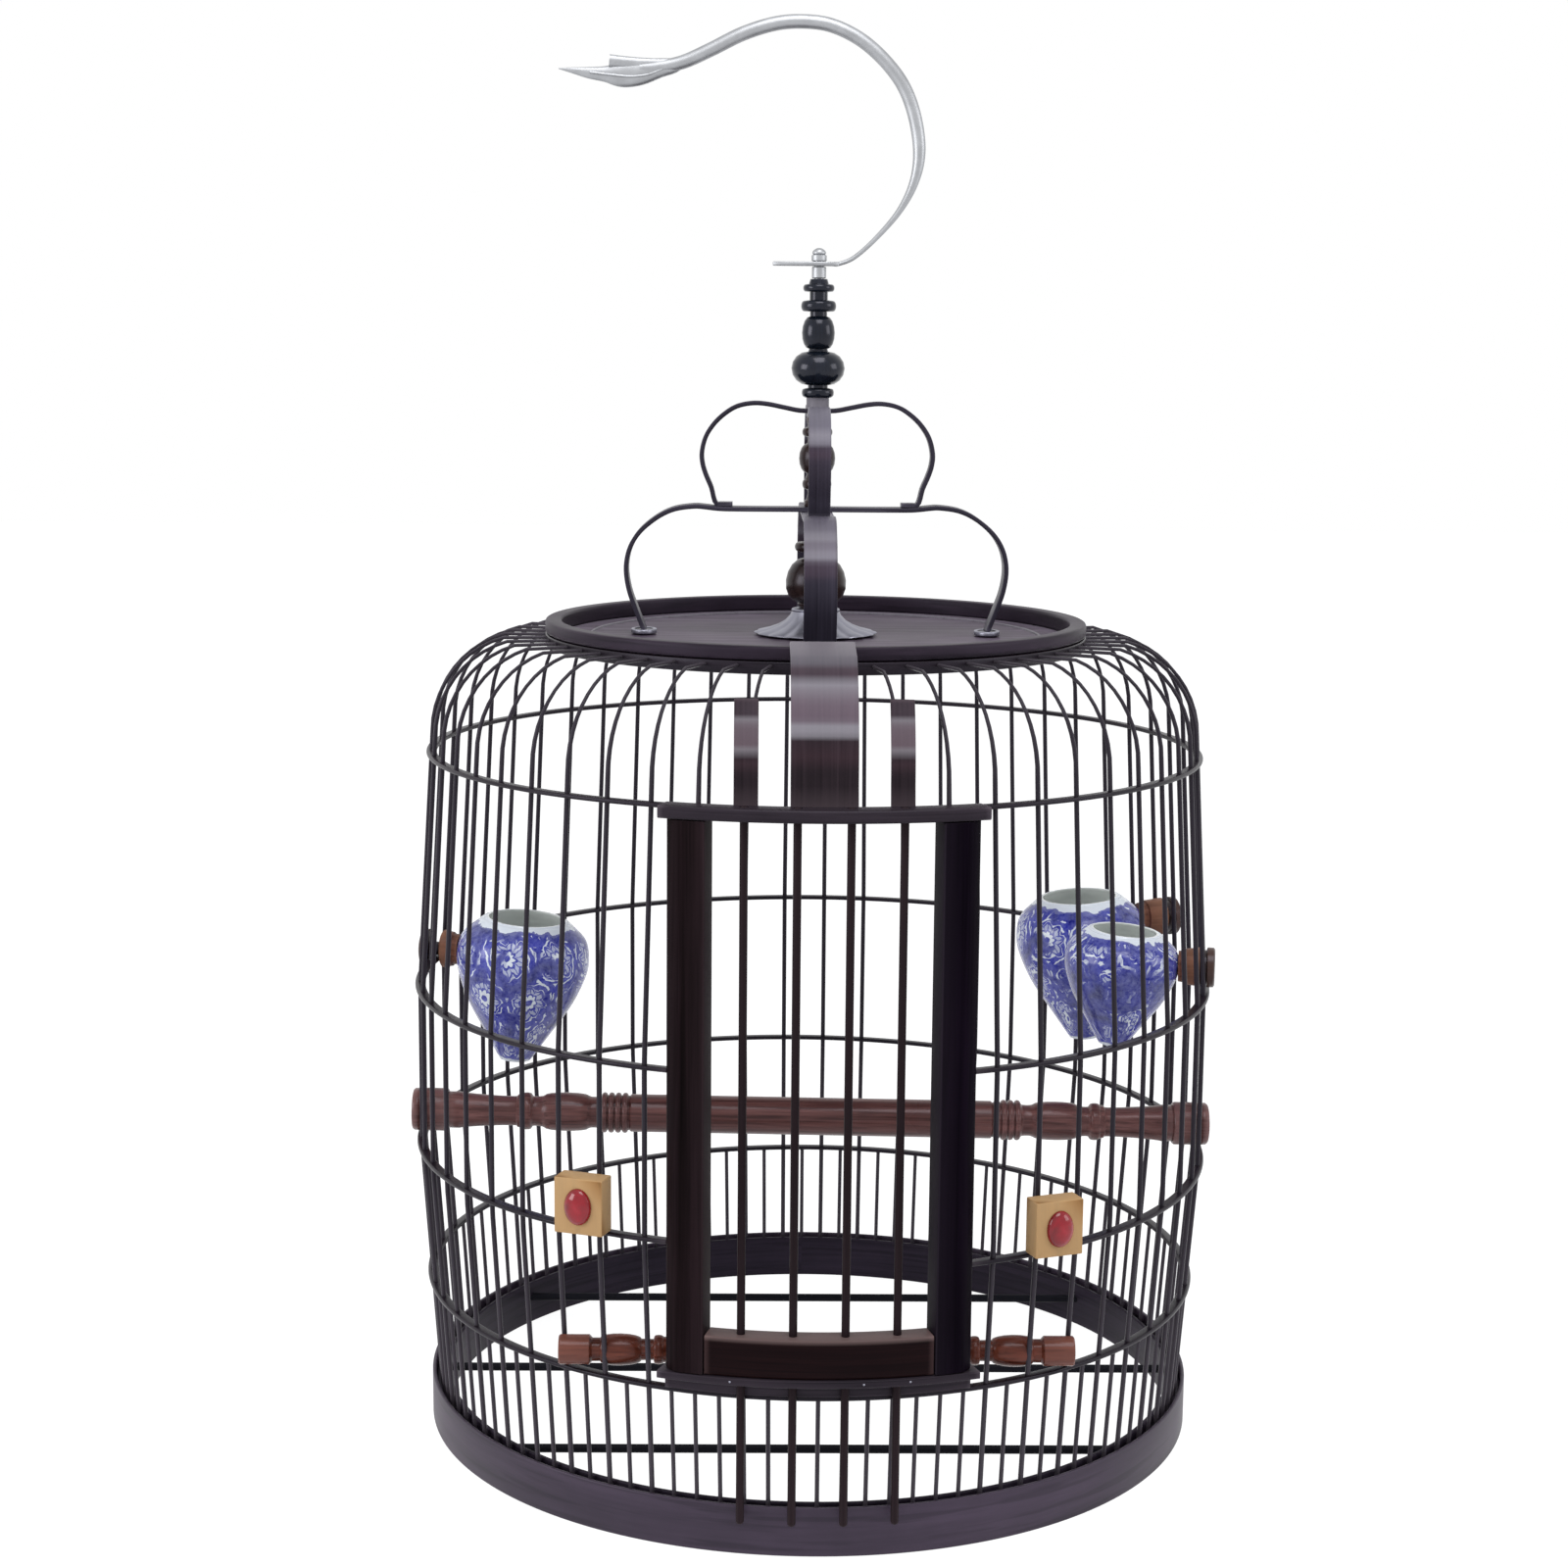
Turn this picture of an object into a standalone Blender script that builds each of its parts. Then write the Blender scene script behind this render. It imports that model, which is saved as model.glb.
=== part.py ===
"""Round hanging bird cage: drilled hoops, threaded splints, a lift-up door and a swivelling hook.

The frame is +Z up with the origin on the cage's axis at the floor it stands on.
The door faces -Y. Angles round the cage are counted from the door, positive towards +X.
"""

import math

import bmesh
import bpy
from mathutils import Matrix, Vector

# Fits
GAP = 0.0003
CUT_OVERRUN = 0.004
MERGE_DISTANCE = 0.00005
HALF_TURN = math.pi
FULL_TURN = 2 * math.pi

# Splints, the upright rods that the hoops are threaded on
SPLINT_COUNT = 54
SPLINT_RADIUS = 0.00105
PICKET_RADIUS = 0.0009
SPLINTS_BESIDE_DOOR = 3

# Sides of the drilled holes and of the nut
MORTISE_SIDES = 4
HOLE_SIDES = 8
EYE_SIDES = 12
NUT_SIDES = 6

# Hoops
HOOP_WIDTH = 0.0044
HOOP_THICKNESS = 0.0018
LOWER_HOOP_HEIGHT = 0.0648
MIDDLE_HOOP_HEIGHT = 0.1210
UPPER_HOOP_HEIGHT = 0.1930
MIDDLE_HOOP_DROP = 0.0086
SHOULDER_HOOP_DROP = 0.0087

# The line of the splints: radius from the axis and height, from the base up
BELLY_LINE_RADIUS = 0.1700
BASE_INSET = 0.0075
BEND_FOOT_INSET = 0.0065
SPLINT_TOP_INSET = 0.0580
BEND_FOOT_HEIGHT = 0.3023
BEND_RADIUS = 0.041
BEND_ANGLE = math.radians(75)
BEND_STEPS = 3

# Base
BAND_OFFSET = 0.0043
BAND_THICKNESS = 0.0016
BAND_HEIGHT = 0.0200
BASE_RING_INSET = 0.0035
BASE_RING_HEIGHT = 0.0195
GROOVE_FLOOR_HEIGHT = 0.0150
GROOVE_LIP_THICKNESS = 0.0018
BASE_STEPS = 36
FLOOR_BAR_RADIUS = 0.0018
FLOOR_BAR_HEIGHT = 0.0123
FLOOR_BAR_SPACING = 0.0910
FLOOR_BAR_SOCKET = 0.0020

# Lid
LID_OVERLAP = 0.0035
LID_RIM_WIDTH = 0.0070
LID_RIM_HEIGHT = 0.0056
LID_RIM_ROUND = 0.0012
LID_BOARD_INSET = 0.0053
LID_BOARD_THICKNESS = 0.0020
LID_BOARD_SINK = 0.0011
TOP_RING_WIDTH = 0.0155
TOP_RING_HEIGHT = 0.0051
TOP_RING_COVER = 0.00065
LID_STEPS = 36

# Rod, nut and rosette
ROD_RADIUS = 0.0020
NUT_RADIUS = 0.0060
NUT_THICKNESS = 0.0035
ROSETTE_RADIUS = 0.0265
ROSETTE_HUB_RADIUS = 0.0120
ROSETTE_HUB_TOP_SHARE = 0.82
ROSETTE_HUB_WAIST_SHARE = 0.90
ROSETTE_PLATE_THICKNESS = 0.0022
ROSETTE_HEIGHT = 0.0112

# Crown bands
BAND_STRIP_THICKNESS = 0.0016
LOWER_CROWN_WIDTH = 0.0134
UPPER_CROWN_WIDTH = 0.0092
LOWER_CROWN_INSET = 0.0345
UPPER_CROWN_INSET = 0.0319
LOWER_CROWN_RISE = 0.0537
UPPER_CROWN_RISE = 0.0416
CROWN_FOOT_LENGTH = 0.0110
CROWN_FOOT_WIDTH = 0.0154
CROWN_FOOT_THICKNESS = 0.0020
# Half outlines of the two tiers: share of the reach, share of the rise from foot to top
LOWER_CROWN_SHARES = (
    (0.000, 1.000), (0.545, 1.000), (0.610, 1.018), (0.665, 1.020), (0.742, 0.998),
    (0.825, 0.940), (0.908, 0.840), (0.960, 0.738), (0.990, 0.625), (1.000, 0.490),
    (0.985, 0.330), (0.950, 0.170), (0.908, 0.000),
)
UPPER_CROWN_SHARES = (
    (0.000, 1.000), (0.150, 1.000), (0.293, 1.033), (0.430, 1.066), (0.550, 1.076),
    (0.673, 1.050), (0.770, 0.990), (0.878, 0.875), (0.960, 0.726), (0.996, 0.560),
    (0.990, 0.430), (0.960, 0.310), (0.915, 0.180), (0.866, 0.000), (0.730, 0.000),
)

# Turned pieces on the rod, and the finial
LOWER_SPINDLE_BALL = 0.0130
UPPER_SPINDLE_BALL = 0.0078
FINIAL_BALL = 0.0113
FINIAL_HEIGHT = 0.0537
# Turned outlines: share of the piece's height from its foot, share of its ball radius
LOWER_SPINDLE_SHARES = (
    (0.00, 0.62), (0.08, 0.80), (0.22, 1.00), (0.38, 0.98), (0.50, 0.70),
    (0.58, 0.42), (0.64, 0.74), (0.70, 0.74), (0.78, 0.36), (1.00, 0.50),
)
UPPER_SPINDLE_SHARES = (
    (0.00, 0.70), (0.18, 0.52), (0.30, 0.80), (0.38, 0.55), (0.44, 0.95),
    (0.58, 1.00), (0.72, 0.60), (0.82, 0.86), (0.92, 0.52), (1.00, 0.66),
)
FINIAL_SHARES = (
    (0.000, 0.41), (0.085, 0.41), (0.095, 0.60), (0.150, 0.60), (0.165, 0.36),
    (0.200, 0.62), (0.255, 0.97), (0.320, 1.00), (0.395, 0.74), (0.445, 0.37),
    (0.490, 0.54), (0.565, 0.62), (0.650, 0.54), (0.715, 0.31), (0.748, 0.66),
    (0.835, 0.66), (0.865, 0.34), (0.905, 0.57), (0.955, 0.59), (1.000, 0.34),
)
TURNED_STEPS = 10
ROD_STEPS = 8

# Hook
STUD_COLLAR_RADIUS = 0.0030
STUD_COLLAR_HEIGHT = 0.0048
HOOK_PLATE_THICKNESS = 0.0017
HOOK_PLATE_WIDTH = 0.0080
HOOK_PLATE_TAIL = 0.0195
HOOK_PLATE_NOSE = 0.0085
HOOK_SPAN = 0.0418
HOOK_RISE = 0.0995
HOOK_THIN_RADIUS = 0.0012
HOOK_THICK_RADIUS = 0.0027
HOOK_EYE_CLEARANCE = 0.0002
HOOK_NUT_RADIUS = 0.0032
HOOK_NUT_HEIGHT = 0.0056
HOOK_LEAF_THICKNESS = 0.0036
# The hook nut's outline from the top: share of its radius, share of its height
HOOK_NUT_SHARES = ((0.0, 1.0), (0.5, 0.9), (1.0, 0.4), (1.0, 0.0))
# The hook's wire: share of its span, share of its rise, share of its thickness
HOOK_SHARES = (
    (0.12, 0.000, 0.00), (0.18, 0.002, 0.00), (0.35, 0.034, 0.10), (0.58, 0.121, 0.25),
    (0.80, 0.223, 0.45), (1.00, 0.461, 0.80), (0.80, 0.734, 1.00), (0.54, 0.863, 1.00),
    (0.10, 0.975, 1.00), (-0.34, 1.000, 1.00), (-0.78, 0.945, 0.95), (-1.22, 0.868, 0.85),
    (-1.72, 0.800, 0.70),
)
# The leaf at the hook's tip, in the same shares
HOOK_LEAF_SHARES = (
    (-1.55, 0.845), (-1.86, 0.830), (-2.12, 0.868), (-2.18, 0.820), (-2.66, 0.793),
    (-2.30, 0.762), (-1.97, 0.728), (-1.80, 0.748), (-1.58, 0.798),
)

# Door and its frame
DOOR_OPENING_HALF_ANGLE = math.radians(14.5)
POST_INSET = 0.0037
POST_DEPTH = 0.0118
POST_CHAMFER_WIDTH = 0.0052
POST_CHAMFER_DEPTH = 0.0042
HEAD_RAIL_DROP = 0.0026
HEAD_RAIL_HEIGHT = 0.0050
HEAD_RAIL_WALL = 0.0025
HEAD_RAIL_OVERHANG = math.radians(0.8)
SILL_HEIGHT = 0.0100
SILL_WIDTH = 0.0056
SILL_LEDGE_HEIGHT = 0.0030
SILL_FACE_CLEARANCE = 0.0008
DOOR_LINE_OFFSET = 0.0022
DOOR_BAR_RADIUS = 0.0016
DOOR_BAR_CLEARANCE = 0.0003
DOOR_BAR_FOOT = 0.0150
DOOR_BAR_STAND = 0.0002
DOOR_BOARD_DEPTH = 0.0100
DOOR_BOARD_HEIGHT = 0.0155
DOOR_SIDE_CLEARANCE = 0.0005
FRAME_STEPS = 6

# Panels over the splints above the door
PANEL_THICKNESS = 0.0016
WIDE_PANEL_WIDTH = 0.0254
WIDE_PANEL_RISE = 0.0042
WIDE_PANEL_LAP = 0.0040
NARROW_PANEL_WIDTH = 0.0092
NARROW_PANEL_RISE = 0.0010
NARROW_PANEL_BEND = math.radians(45)

# Perches
PERCH_END_RADIUS = 0.0095
PERCH_END_OUTSIDE = 0.0040
LOW_PERCH_RADIUS = 0.0060
LOW_PERCH_LIFT = 0.0018
LOW_PERCH_GAP = 5
LOW_PERCH_END_OUTSIDE = 0.0100
PERCH_STEPS = 8
# Half outlines: share of the half length from the middle, share of the end radius
PERCH_SHARES = (
    (0.000, 0.87), (0.440, 0.87), (0.450, 0.94), (0.510, 0.94), (0.520, 0.80), (0.610, 0.885),
    (0.665, 0.76), (0.705, 0.84), (0.730, 0.74), (0.880, 0.84), (0.913, 1.00), (1.000, 1.00),
)
LOW_PERCH_SHARES = (
    (0.00, 0.92), (0.60, 0.92), (0.66, 0.72), (0.76, 1.00), (0.84, 0.62), (0.865, 0.94),
    (1.00, 1.00),
)

# Cups and their holders
CUP_WALL = 0.0022
CUP_FLOOR_SHARE = 0.07
CUP_STEPS = 12
# Cup outlines from the foot up: share of the height, share of the outer radius
CUP_OUTLINE_SHARES = (
    (0.000, 0.24), (0.200, 0.51), (0.420, 0.80), (0.620, 0.97), (0.742, 1.00),
    (0.862, 0.94), (0.945, 0.76), (1.000, 0.62),
)
# Label, gap between splints, the holder's rise over the upper hoop, the cup's inset from the
# wall, its radius, height, the rim's rise over the hoop and how far the cup leans out
CUPS = (
    ("left", -15, 0.0043, 0.0397, 0.0294, 0.0644, 0.0198, math.radians(-5)),
    ("right_front", 12, 0.0110, 0.0350, 0.0245, 0.0502, 0.0258, math.radians(5)),
    ("right_back", 16, 0.0170, 0.0420, 0.0290, 0.0649, 0.0284, math.radians(-4)),
)
HOLDER_RADIUS = 0.0089
HOLDER_NECK_RADIUS = 0.0030
HOLDER_CAP_THICKNESS = 0.0034
HOLDER_TAPER = 0.8
HOLDER_STEPS = 8

# Medallions
MEDALLION_WIDTH = 0.0200
MEDALLION_HEIGHT = 0.0222
MEDALLION_DEPTH = 0.0095
MEDALLION_ANGLE = math.radians(31.5)
MEDALLION_FACE_ANGLE = math.radians(20)
MEDALLION_SPLINT = 5
STONE_WIDTH = 0.0105
STONE_HEIGHT = 0.0140
STONE_RISE = 0.0032
STONE_STEPS = 10
STONE_RINGS = 6

# The splints' line and the wall
PITCH = FULL_TURN / SPLINT_COUNT
BASE_LINE_RADIUS = BELLY_LINE_RADIUS - BASE_INSET
BEND_FOOT_RADIUS = BELLY_LINE_RADIUS - BEND_FOOT_INSET
SPLINT_TOP_RADIUS = BELLY_LINE_RADIUS - SPLINT_TOP_INSET
BELLY_LOW = MIDDLE_HOOP_HEIGHT
BELLY_HIGH = UPPER_HOOP_HEIGHT
BEND_CENTRE_RADIUS = BEND_FOOT_RADIUS - BEND_RADIUS
SPLINT_TOP_HEIGHT = BEND_FOOT_HEIGHT + BEND_RADIUS * math.sin(BEND_ANGLE)
SHOULDER_HOOP_HEIGHT = BEND_FOOT_HEIGHT - SHOULDER_HOOP_DROP
HOOP_START_ANGLE = SPLINTS_BESIDE_DOOR * PITCH
HOOP_STEPS = SPLINT_COUNT // 2

# The base and the lid
BAND_RADIUS = BASE_LINE_RADIUS + BAND_OFFSET
BAND_INNER_RADIUS = BAND_RADIUS - BAND_THICKNESS
BASE_RING_INNER_RADIUS = BASE_LINE_RADIUS - BASE_RING_INSET
LID_RADIUS = SPLINT_TOP_RADIUS + LID_OVERLAP
LID_BOARD_RADIUS = LID_RADIUS - LID_BOARD_INSET
TOP_RING_INNER_RADIUS = LID_RADIUS - TOP_RING_WIDTH
TOP_RING_TOP = SPLINT_TOP_HEIGHT + SPLINT_RADIUS + TOP_RING_COVER
TOP_RING_LOW = TOP_RING_TOP - TOP_RING_HEIGHT
LID_RIM_LOW = TOP_RING_TOP + GAP
LID_RIM_TOP = LID_RIM_LOW + LID_RIM_HEIGHT
LID_BOARD_TOP = TOP_RING_TOP - LID_BOARD_SINK
LID_BOARD_LOW = LID_BOARD_TOP - LID_BOARD_THICKNESS

# The crown, the finial and the hook
LOWER_CROWN_REACH = LID_RADIUS - LOWER_CROWN_INSET
UPPER_CROWN_REACH = LOWER_CROWN_REACH - UPPER_CROWN_INSET
LOWER_CROWN_TOP = LID_BOARD_TOP + LOWER_CROWN_RISE
UPPER_CROWN_TOP = LOWER_CROWN_TOP + UPPER_CROWN_RISE
CROWN_STEP = BAND_STRIP_THICKNESS + GAP
FINIAL_FOOT = UPPER_CROWN_TOP + BAND_STRIP_THICKNESS / 2 + GAP
FINIAL_TOP = FINIAL_FOOT + FINIAL_HEIGHT
HOOK_PLATE_LOW = FINIAL_TOP + STUD_COLLAR_HEIGHT + 2 * GAP

# The door and its frame
DOOR_LINE_RADIUS = BELLY_LINE_RADIUS + DOOR_LINE_OFFSET
POST_OUTER_ANGLE = HOOP_START_ANGLE - GAP / BELLY_LINE_RADIUS
POST_INNER_RADIUS = BELLY_LINE_RADIUS - POST_INSET
POST_OUTER_RADIUS = POST_INNER_RADIUS + POST_DEPTH
SILL_LOW = LOWER_HOOP_HEIGHT + HOOP_THICKNESS / 2 + GAP
SILL_TOP = SILL_LOW + SILL_HEIGHT
SILL_FACE_RADIUS = DOOR_LINE_RADIUS - DOOR_BAR_RADIUS - SILL_FACE_CLEARANCE
HEAD_RAIL_LOW = SHOULDER_HOOP_HEIGHT - HEAD_RAIL_DROP
HEAD_RAIL_TOP = HEAD_RAIL_LOW + HEAD_RAIL_HEIGHT
HEAD_RAIL_INNER_RADIUS = DOOR_LINE_RADIUS - DOOR_BAR_RADIUS - DOOR_BAR_CLEARANCE - HEAD_RAIL_WALL
FRAME_FRONT_RADIUS = POST_OUTER_RADIUS + GAP
POST_LOW = SILL_TOP + GAP
POST_TOP = HEAD_RAIL_LOW - GAP
DOOR_BAR_TOP = HEAD_RAIL_TOP + DOOR_BAR_STAND

PARTS = None
CUTTERS = None

COLOURS = {
    "dark_wood": ((0.030, 0.020, 0.026), 0.35, 0.0),
    "band_wood": ((0.060, 0.044, 0.058), 0.42, 0.0),
    "panel_wood": ((0.055, 0.036, 0.042), 0.30, 0.0),
    "black_wood": ((0.012, 0.016, 0.026), 0.25, 0.0),
    "spindle_wood": ((0.060, 0.026, 0.020), 0.30, 0.0),
    "perch_wood": ((0.160, 0.050, 0.040), 0.32, 0.0),
    "holder_wood": ((0.190, 0.075, 0.045), 0.40, 0.0),
    "steel": ((0.620, 0.630, 0.650), 0.18, 1.0),
    "porcelain": ((0.720, 0.750, 0.860), 0.12, 0.0),
    "tan_block": ((0.460, 0.270, 0.090), 0.45, 0.0),
    "red_stone": ((0.380, 0.012, 0.025), 0.15, 0.0),
}


def clear_scene():
    """Remove the objects of the open file and make the two collections."""
    global PARTS, CUTTERS
    for item in list(bpy.data.objects):
        bpy.data.objects.remove(item, do_unlink=True)
    PARTS = bpy.data.collections.new("hanging_bird_cage")
    CUTTERS = bpy.data.collections.new("cutters")
    bpy.context.scene.collection.children.link(PARTS)
    bpy.context.scene.collection.children.link(CUTTERS)


def make_material(name, colour_name):
    """A Principled material for one piece."""
    colour, roughness, metallic = COLOURS[colour_name]
    material = bpy.data.materials.new(name)
    material.use_nodes = True
    shader = material.node_tree.nodes["Principled BSDF"]
    shader.inputs["Base Color"].default_value = (*colour, 1.0)
    shader.inputs["Roughness"].default_value = roughness
    shader.inputs["Metallic"].default_value = metallic
    return material


def add_part(name, data, colour_name):
    """A named piece in the parts' collection, with its own material."""
    piece = bpy.data.objects.new(name, data)
    data.name = name
    data.materials.clear()
    data.materials.append(make_material(name, colour_name))
    PARTS.objects.link(piece)
    return piece


def combine(piece, mesh, operation):
    """Join the closed shells of a mesh to a piece, or take them out of it."""
    other = bpy.data.objects.new(mesh.name, mesh)
    CUTTERS.objects.link(other)
    other.hide_render = True
    other.display_type = "WIRE"
    modifier = piece.modifiers.new(mesh.name, "BOOLEAN")
    modifier.operation = operation
    modifier.solver = "EXACT"
    modifier.object = other


def cut_away(piece, mesh):
    """Take the closed shells of a mesh out of a piece."""
    combine(piece, mesh, "DIFFERENCE")


def join_on(piece, mesh):
    """Make the closed shells of a mesh one body with a piece."""
    combine(piece, mesh, "UNION")


def plain_mesh(bm, name):
    """Turn a bmesh of closed shells into mesh data, for cutting or joining."""
    bm.normal_update()
    bmesh.ops.recalc_face_normals(bm, faces=bm.faces)
    mesh = bpy.data.meshes.new(name)
    bm.to_mesh(mesh)
    bm.free()
    return mesh


def smooth_mesh(mesh, angle=math.radians(35)):
    """Shade round faces smooth and keep the real edges sharp."""
    mesh.shade_smooth()
    mesh.set_sharp_from_angle(angle=angle)


def finish_mesh(bm, name):
    """Turn a bmesh into mesh data with its faces pointing out."""
    bm.normal_update()
    bmesh.ops.recalc_face_normals(bm, faces=bm.faces)
    mesh = bpy.data.meshes.new(name)
    bm.to_mesh(mesh)
    bm.free()
    smooth_mesh(mesh)
    return mesh


def round_place(angle, radius, height):
    """The point at an angle from the door, a radius from the axis and a height."""
    return Vector((radius * math.sin(angle), -radius * math.cos(angle), height))


def turned(name, profile, steps, colour_name, closed=False):
    """A lathe piece: radius and height pairs down the outer side, spun about Z by a Screw."""
    mesh = bpy.data.meshes.new(name)
    verts = [(radius, 0.0, height) for radius, height in profile]
    edges = [(i, i + 1) for i in range(len(verts) - 1)]
    if closed:
        edges.append((len(verts) - 1, 0))
    mesh.from_pydata(verts, edges, [])
    piece = add_part(name, mesh, colour_name)
    spin = piece.modifiers.new("turn", "SCREW")
    spin.axis = "Z"
    spin.angle = FULL_TURN
    spin.steps = steps
    spin.render_steps = steps
    spin.use_merge_vertices = True
    spin.merge_threshold = MERGE_DISTANCE
    spin.use_smooth_shade = True
    return piece


def ring(name, inner, outer, low, high, steps, colour_name):
    """A plain ring of rectangular section."""
    profile = [(outer, high), (outer, low), (inner, low), (inner, high)]
    return turned(name, profile, steps, colour_name, closed=True)


def arc_mesh(name, profile, start, end, steps, rise=0.0):
    """A closed solid swept round the axis from one angle to another, with an even rise."""
    bm = bmesh.new()
    verts = [bm.verts.new(round_place(start, radius, height)) for radius, height in profile]
    face = bm.faces.new(verts)
    bmesh.ops.spin(
        bm, geom=[face] + list(face.edges) + verts, cent=(0, 0, 0), axis=(0, 0, 1),
        dvec=(0, 0, rise / steps), angle=end - start, steps=steps, use_duplicate=False,
    )
    return finish_mesh(bm, name)


def box_section(inner, outer, low, high):
    """The corners of a rectangular section."""
    return [(outer, high), (outer, low), (inner, low), (inner, high)]


def raise_face(bm, face, way):
    """Extrude a flat face into a closed solid."""
    grown = bmesh.ops.extrude_face_region(bm, geom=[face])
    moved = [item for item in grown["geom"] if isinstance(item, bmesh.types.BMVert)]
    bmesh.ops.translate(bm, verts=moved, vec=way)


def add_prism(bm, place, radius, low, high, sides, turn=0.0):
    """Add an upright prism to a bmesh, from one height to another."""
    spot = Matrix.Translation((place.x, place.y, (low + high) / 2)) @ Matrix.Rotation(turn, 4, "Z")
    bmesh.ops.create_cone(
        bm, cap_ends=True, cap_tris=False, segments=sides, radius1=radius, radius2=radius,
        depth=high - low, matrix=spot,
    )


def add_box(bm, centre, size, turn=None):
    """Add a box to a bmesh, with an optional rotation matrix."""
    scale = Matrix.Diagonal((*size, 1.0))
    spot = Matrix.Translation(centre) @ (turn or Matrix.Identity(4)) @ scale
    bmesh.ops.create_cube(bm, size=1.0, matrix=spot)


def smooth_points(points, steps):
    """Points on a Catmull-Rom curve through the given ones."""
    rows = [Vector(point) for point in points]
    rows = [2 * rows[0] - rows[1]] + rows + [2 * rows[-1] - rows[-2]]
    result = []
    for i in range(1, len(rows) - 2):
        before, here, after, beyond = rows[i - 1:i + 3]
        for k in range(steps):
            t = k / steps
            result.append(
                0.5 * (2 * here + (after - before) * t
                       + (2 * before - 5 * here + 4 * after - beyond) * t * t
                       + (3 * here - before - 3 * after + beyond) * t * t * t)
            )
    result.append(rows[-2])
    return result


def rod_curve(name, lines, radius, resolution, colour_name):
    """Round rods along polylines, as one curve object: each line is a separate closed rod."""
    curve = bpy.data.curves.new(name, "CURVE")
    curve.dimensions = "3D"
    curve.bevel_depth = radius
    curve.bevel_resolution = resolution
    curve.use_fill_caps = True
    for line in lines:
        spline = curve.splines.new("POLY")
        spline.points.add(len(line) - 1)
        for point, row in zip(spline.points, line):
            point.co = (row[0], row[1], row[2], 1.0)
            point.radius = row[3] if len(row) > 3 else 1.0
    return add_part(name, curve, colour_name)


def rod_mesh(name, lines, radius, resolution):
    """The same rods as mesh data with welded caps, for joining on to a piece."""
    guide = rod_curve(name + "_guide", lines, radius, resolution, "dark_wood")
    view = bpy.context.evaluated_depsgraph_get()
    view.update()
    mesh = bpy.data.meshes.new_from_object(guide.evaluated_get(view))
    mesh.name = name
    mesh.materials.clear()
    bm = bmesh.new()
    bm.from_mesh(mesh)
    bmesh.ops.remove_doubles(bm, verts=bm.verts, dist=MERGE_DISTANCE)
    bm.to_mesh(mesh)
    bm.free()
    bpy.data.objects.remove(guide, do_unlink=True)
    return mesh


def strip_mesh(name, line, width, side):
    """An open surface along a line, as wide as asked."""
    bm = bmesh.new()
    half = Vector(side) * (width / 2)
    rows = [(bm.verts.new(point - half), bm.verts.new(point + half)) for point in line]
    for (a, b), (c, d) in zip(rows, rows[1:]):
        bm.faces.new((a, b, d, c))
    return finish_mesh(bm, name)


def strip(name, line, width, side, thickness, colour_name):
    """A bent strip as a piece."""
    piece = add_part(name, strip_mesh(name, line, width, side), colour_name)
    solid = piece.modifiers.new("thickness", "SOLIDIFY")
    solid.thickness = thickness
    solid.offset = 0.0
    solid.use_even_offset = True
    return piece


# The splints' line

def line_radius(height):
    """Radius of the splints' line at a height on the wall below the bend."""
    if height <= BELLY_LOW:
        share = (height - GROOVE_FLOOR_HEIGHT) / (BELLY_LOW - GROOVE_FLOOR_HEIGHT)
        return BASE_LINE_RADIUS + share * (BELLY_LINE_RADIUS - BASE_LINE_RADIUS)
    if height <= BELLY_HIGH:
        return BELLY_LINE_RADIUS
    share = (height - BELLY_HIGH) / (BEND_FOOT_HEIGHT - BELLY_HIGH)
    return BELLY_LINE_RADIUS + share * (BEND_FOOT_RADIUS - BELLY_LINE_RADIUS)


def bend_point(turn, offset=0.0):
    """Radius and height on the bend under the lid, pushed outwards by an offset."""
    reach = BEND_RADIUS + offset
    return (BEND_CENTRE_RADIUS + reach * math.cos(turn), BEND_FOOT_HEIGHT + reach * math.sin(turn))


def wall_line(low, high):
    """Radius and height pairs along the wall from one height to another."""
    heights = [low] + [h for h in (BELLY_LOW, BELLY_HIGH) if low < h < high] + [high]
    return [(line_radius(height), height) for height in heights]


def top_line():
    """Radius and height pairs round the bend and into the lid."""
    turns = [BEND_ANGLE * k / BEND_STEPS for k in range(BEND_STEPS + 1)]
    return [bend_point(turn) for turn in turns] + [(SPLINT_TOP_RADIUS, SPLINT_TOP_HEIGHT)]


def lines_round(pairs, angles):
    """The same radius and height pairs at several angles."""
    return [[round_place(angle, radius, height) for radius, height in pairs] for angle in angles]


def splint_angles(first, last):
    """Angles of the splints from one number to another, counted from the door's middle."""
    return [(k - 0.5) * PITCH for k in range(first, last + 1)]


def full_splint_angles():
    """Angles of all the full splints, from one side of the door round to the other."""
    return splint_angles(SPLINTS_BESIDE_DOOR + 1, SPLINT_COUNT - SPLINTS_BESIDE_DOOR)


def door_splint_angles():
    """Angles of the splints' places at the door."""
    return splint_angles(1 - SPLINTS_BESIDE_DOOR, SPLINTS_BESIDE_DOOR)


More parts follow.
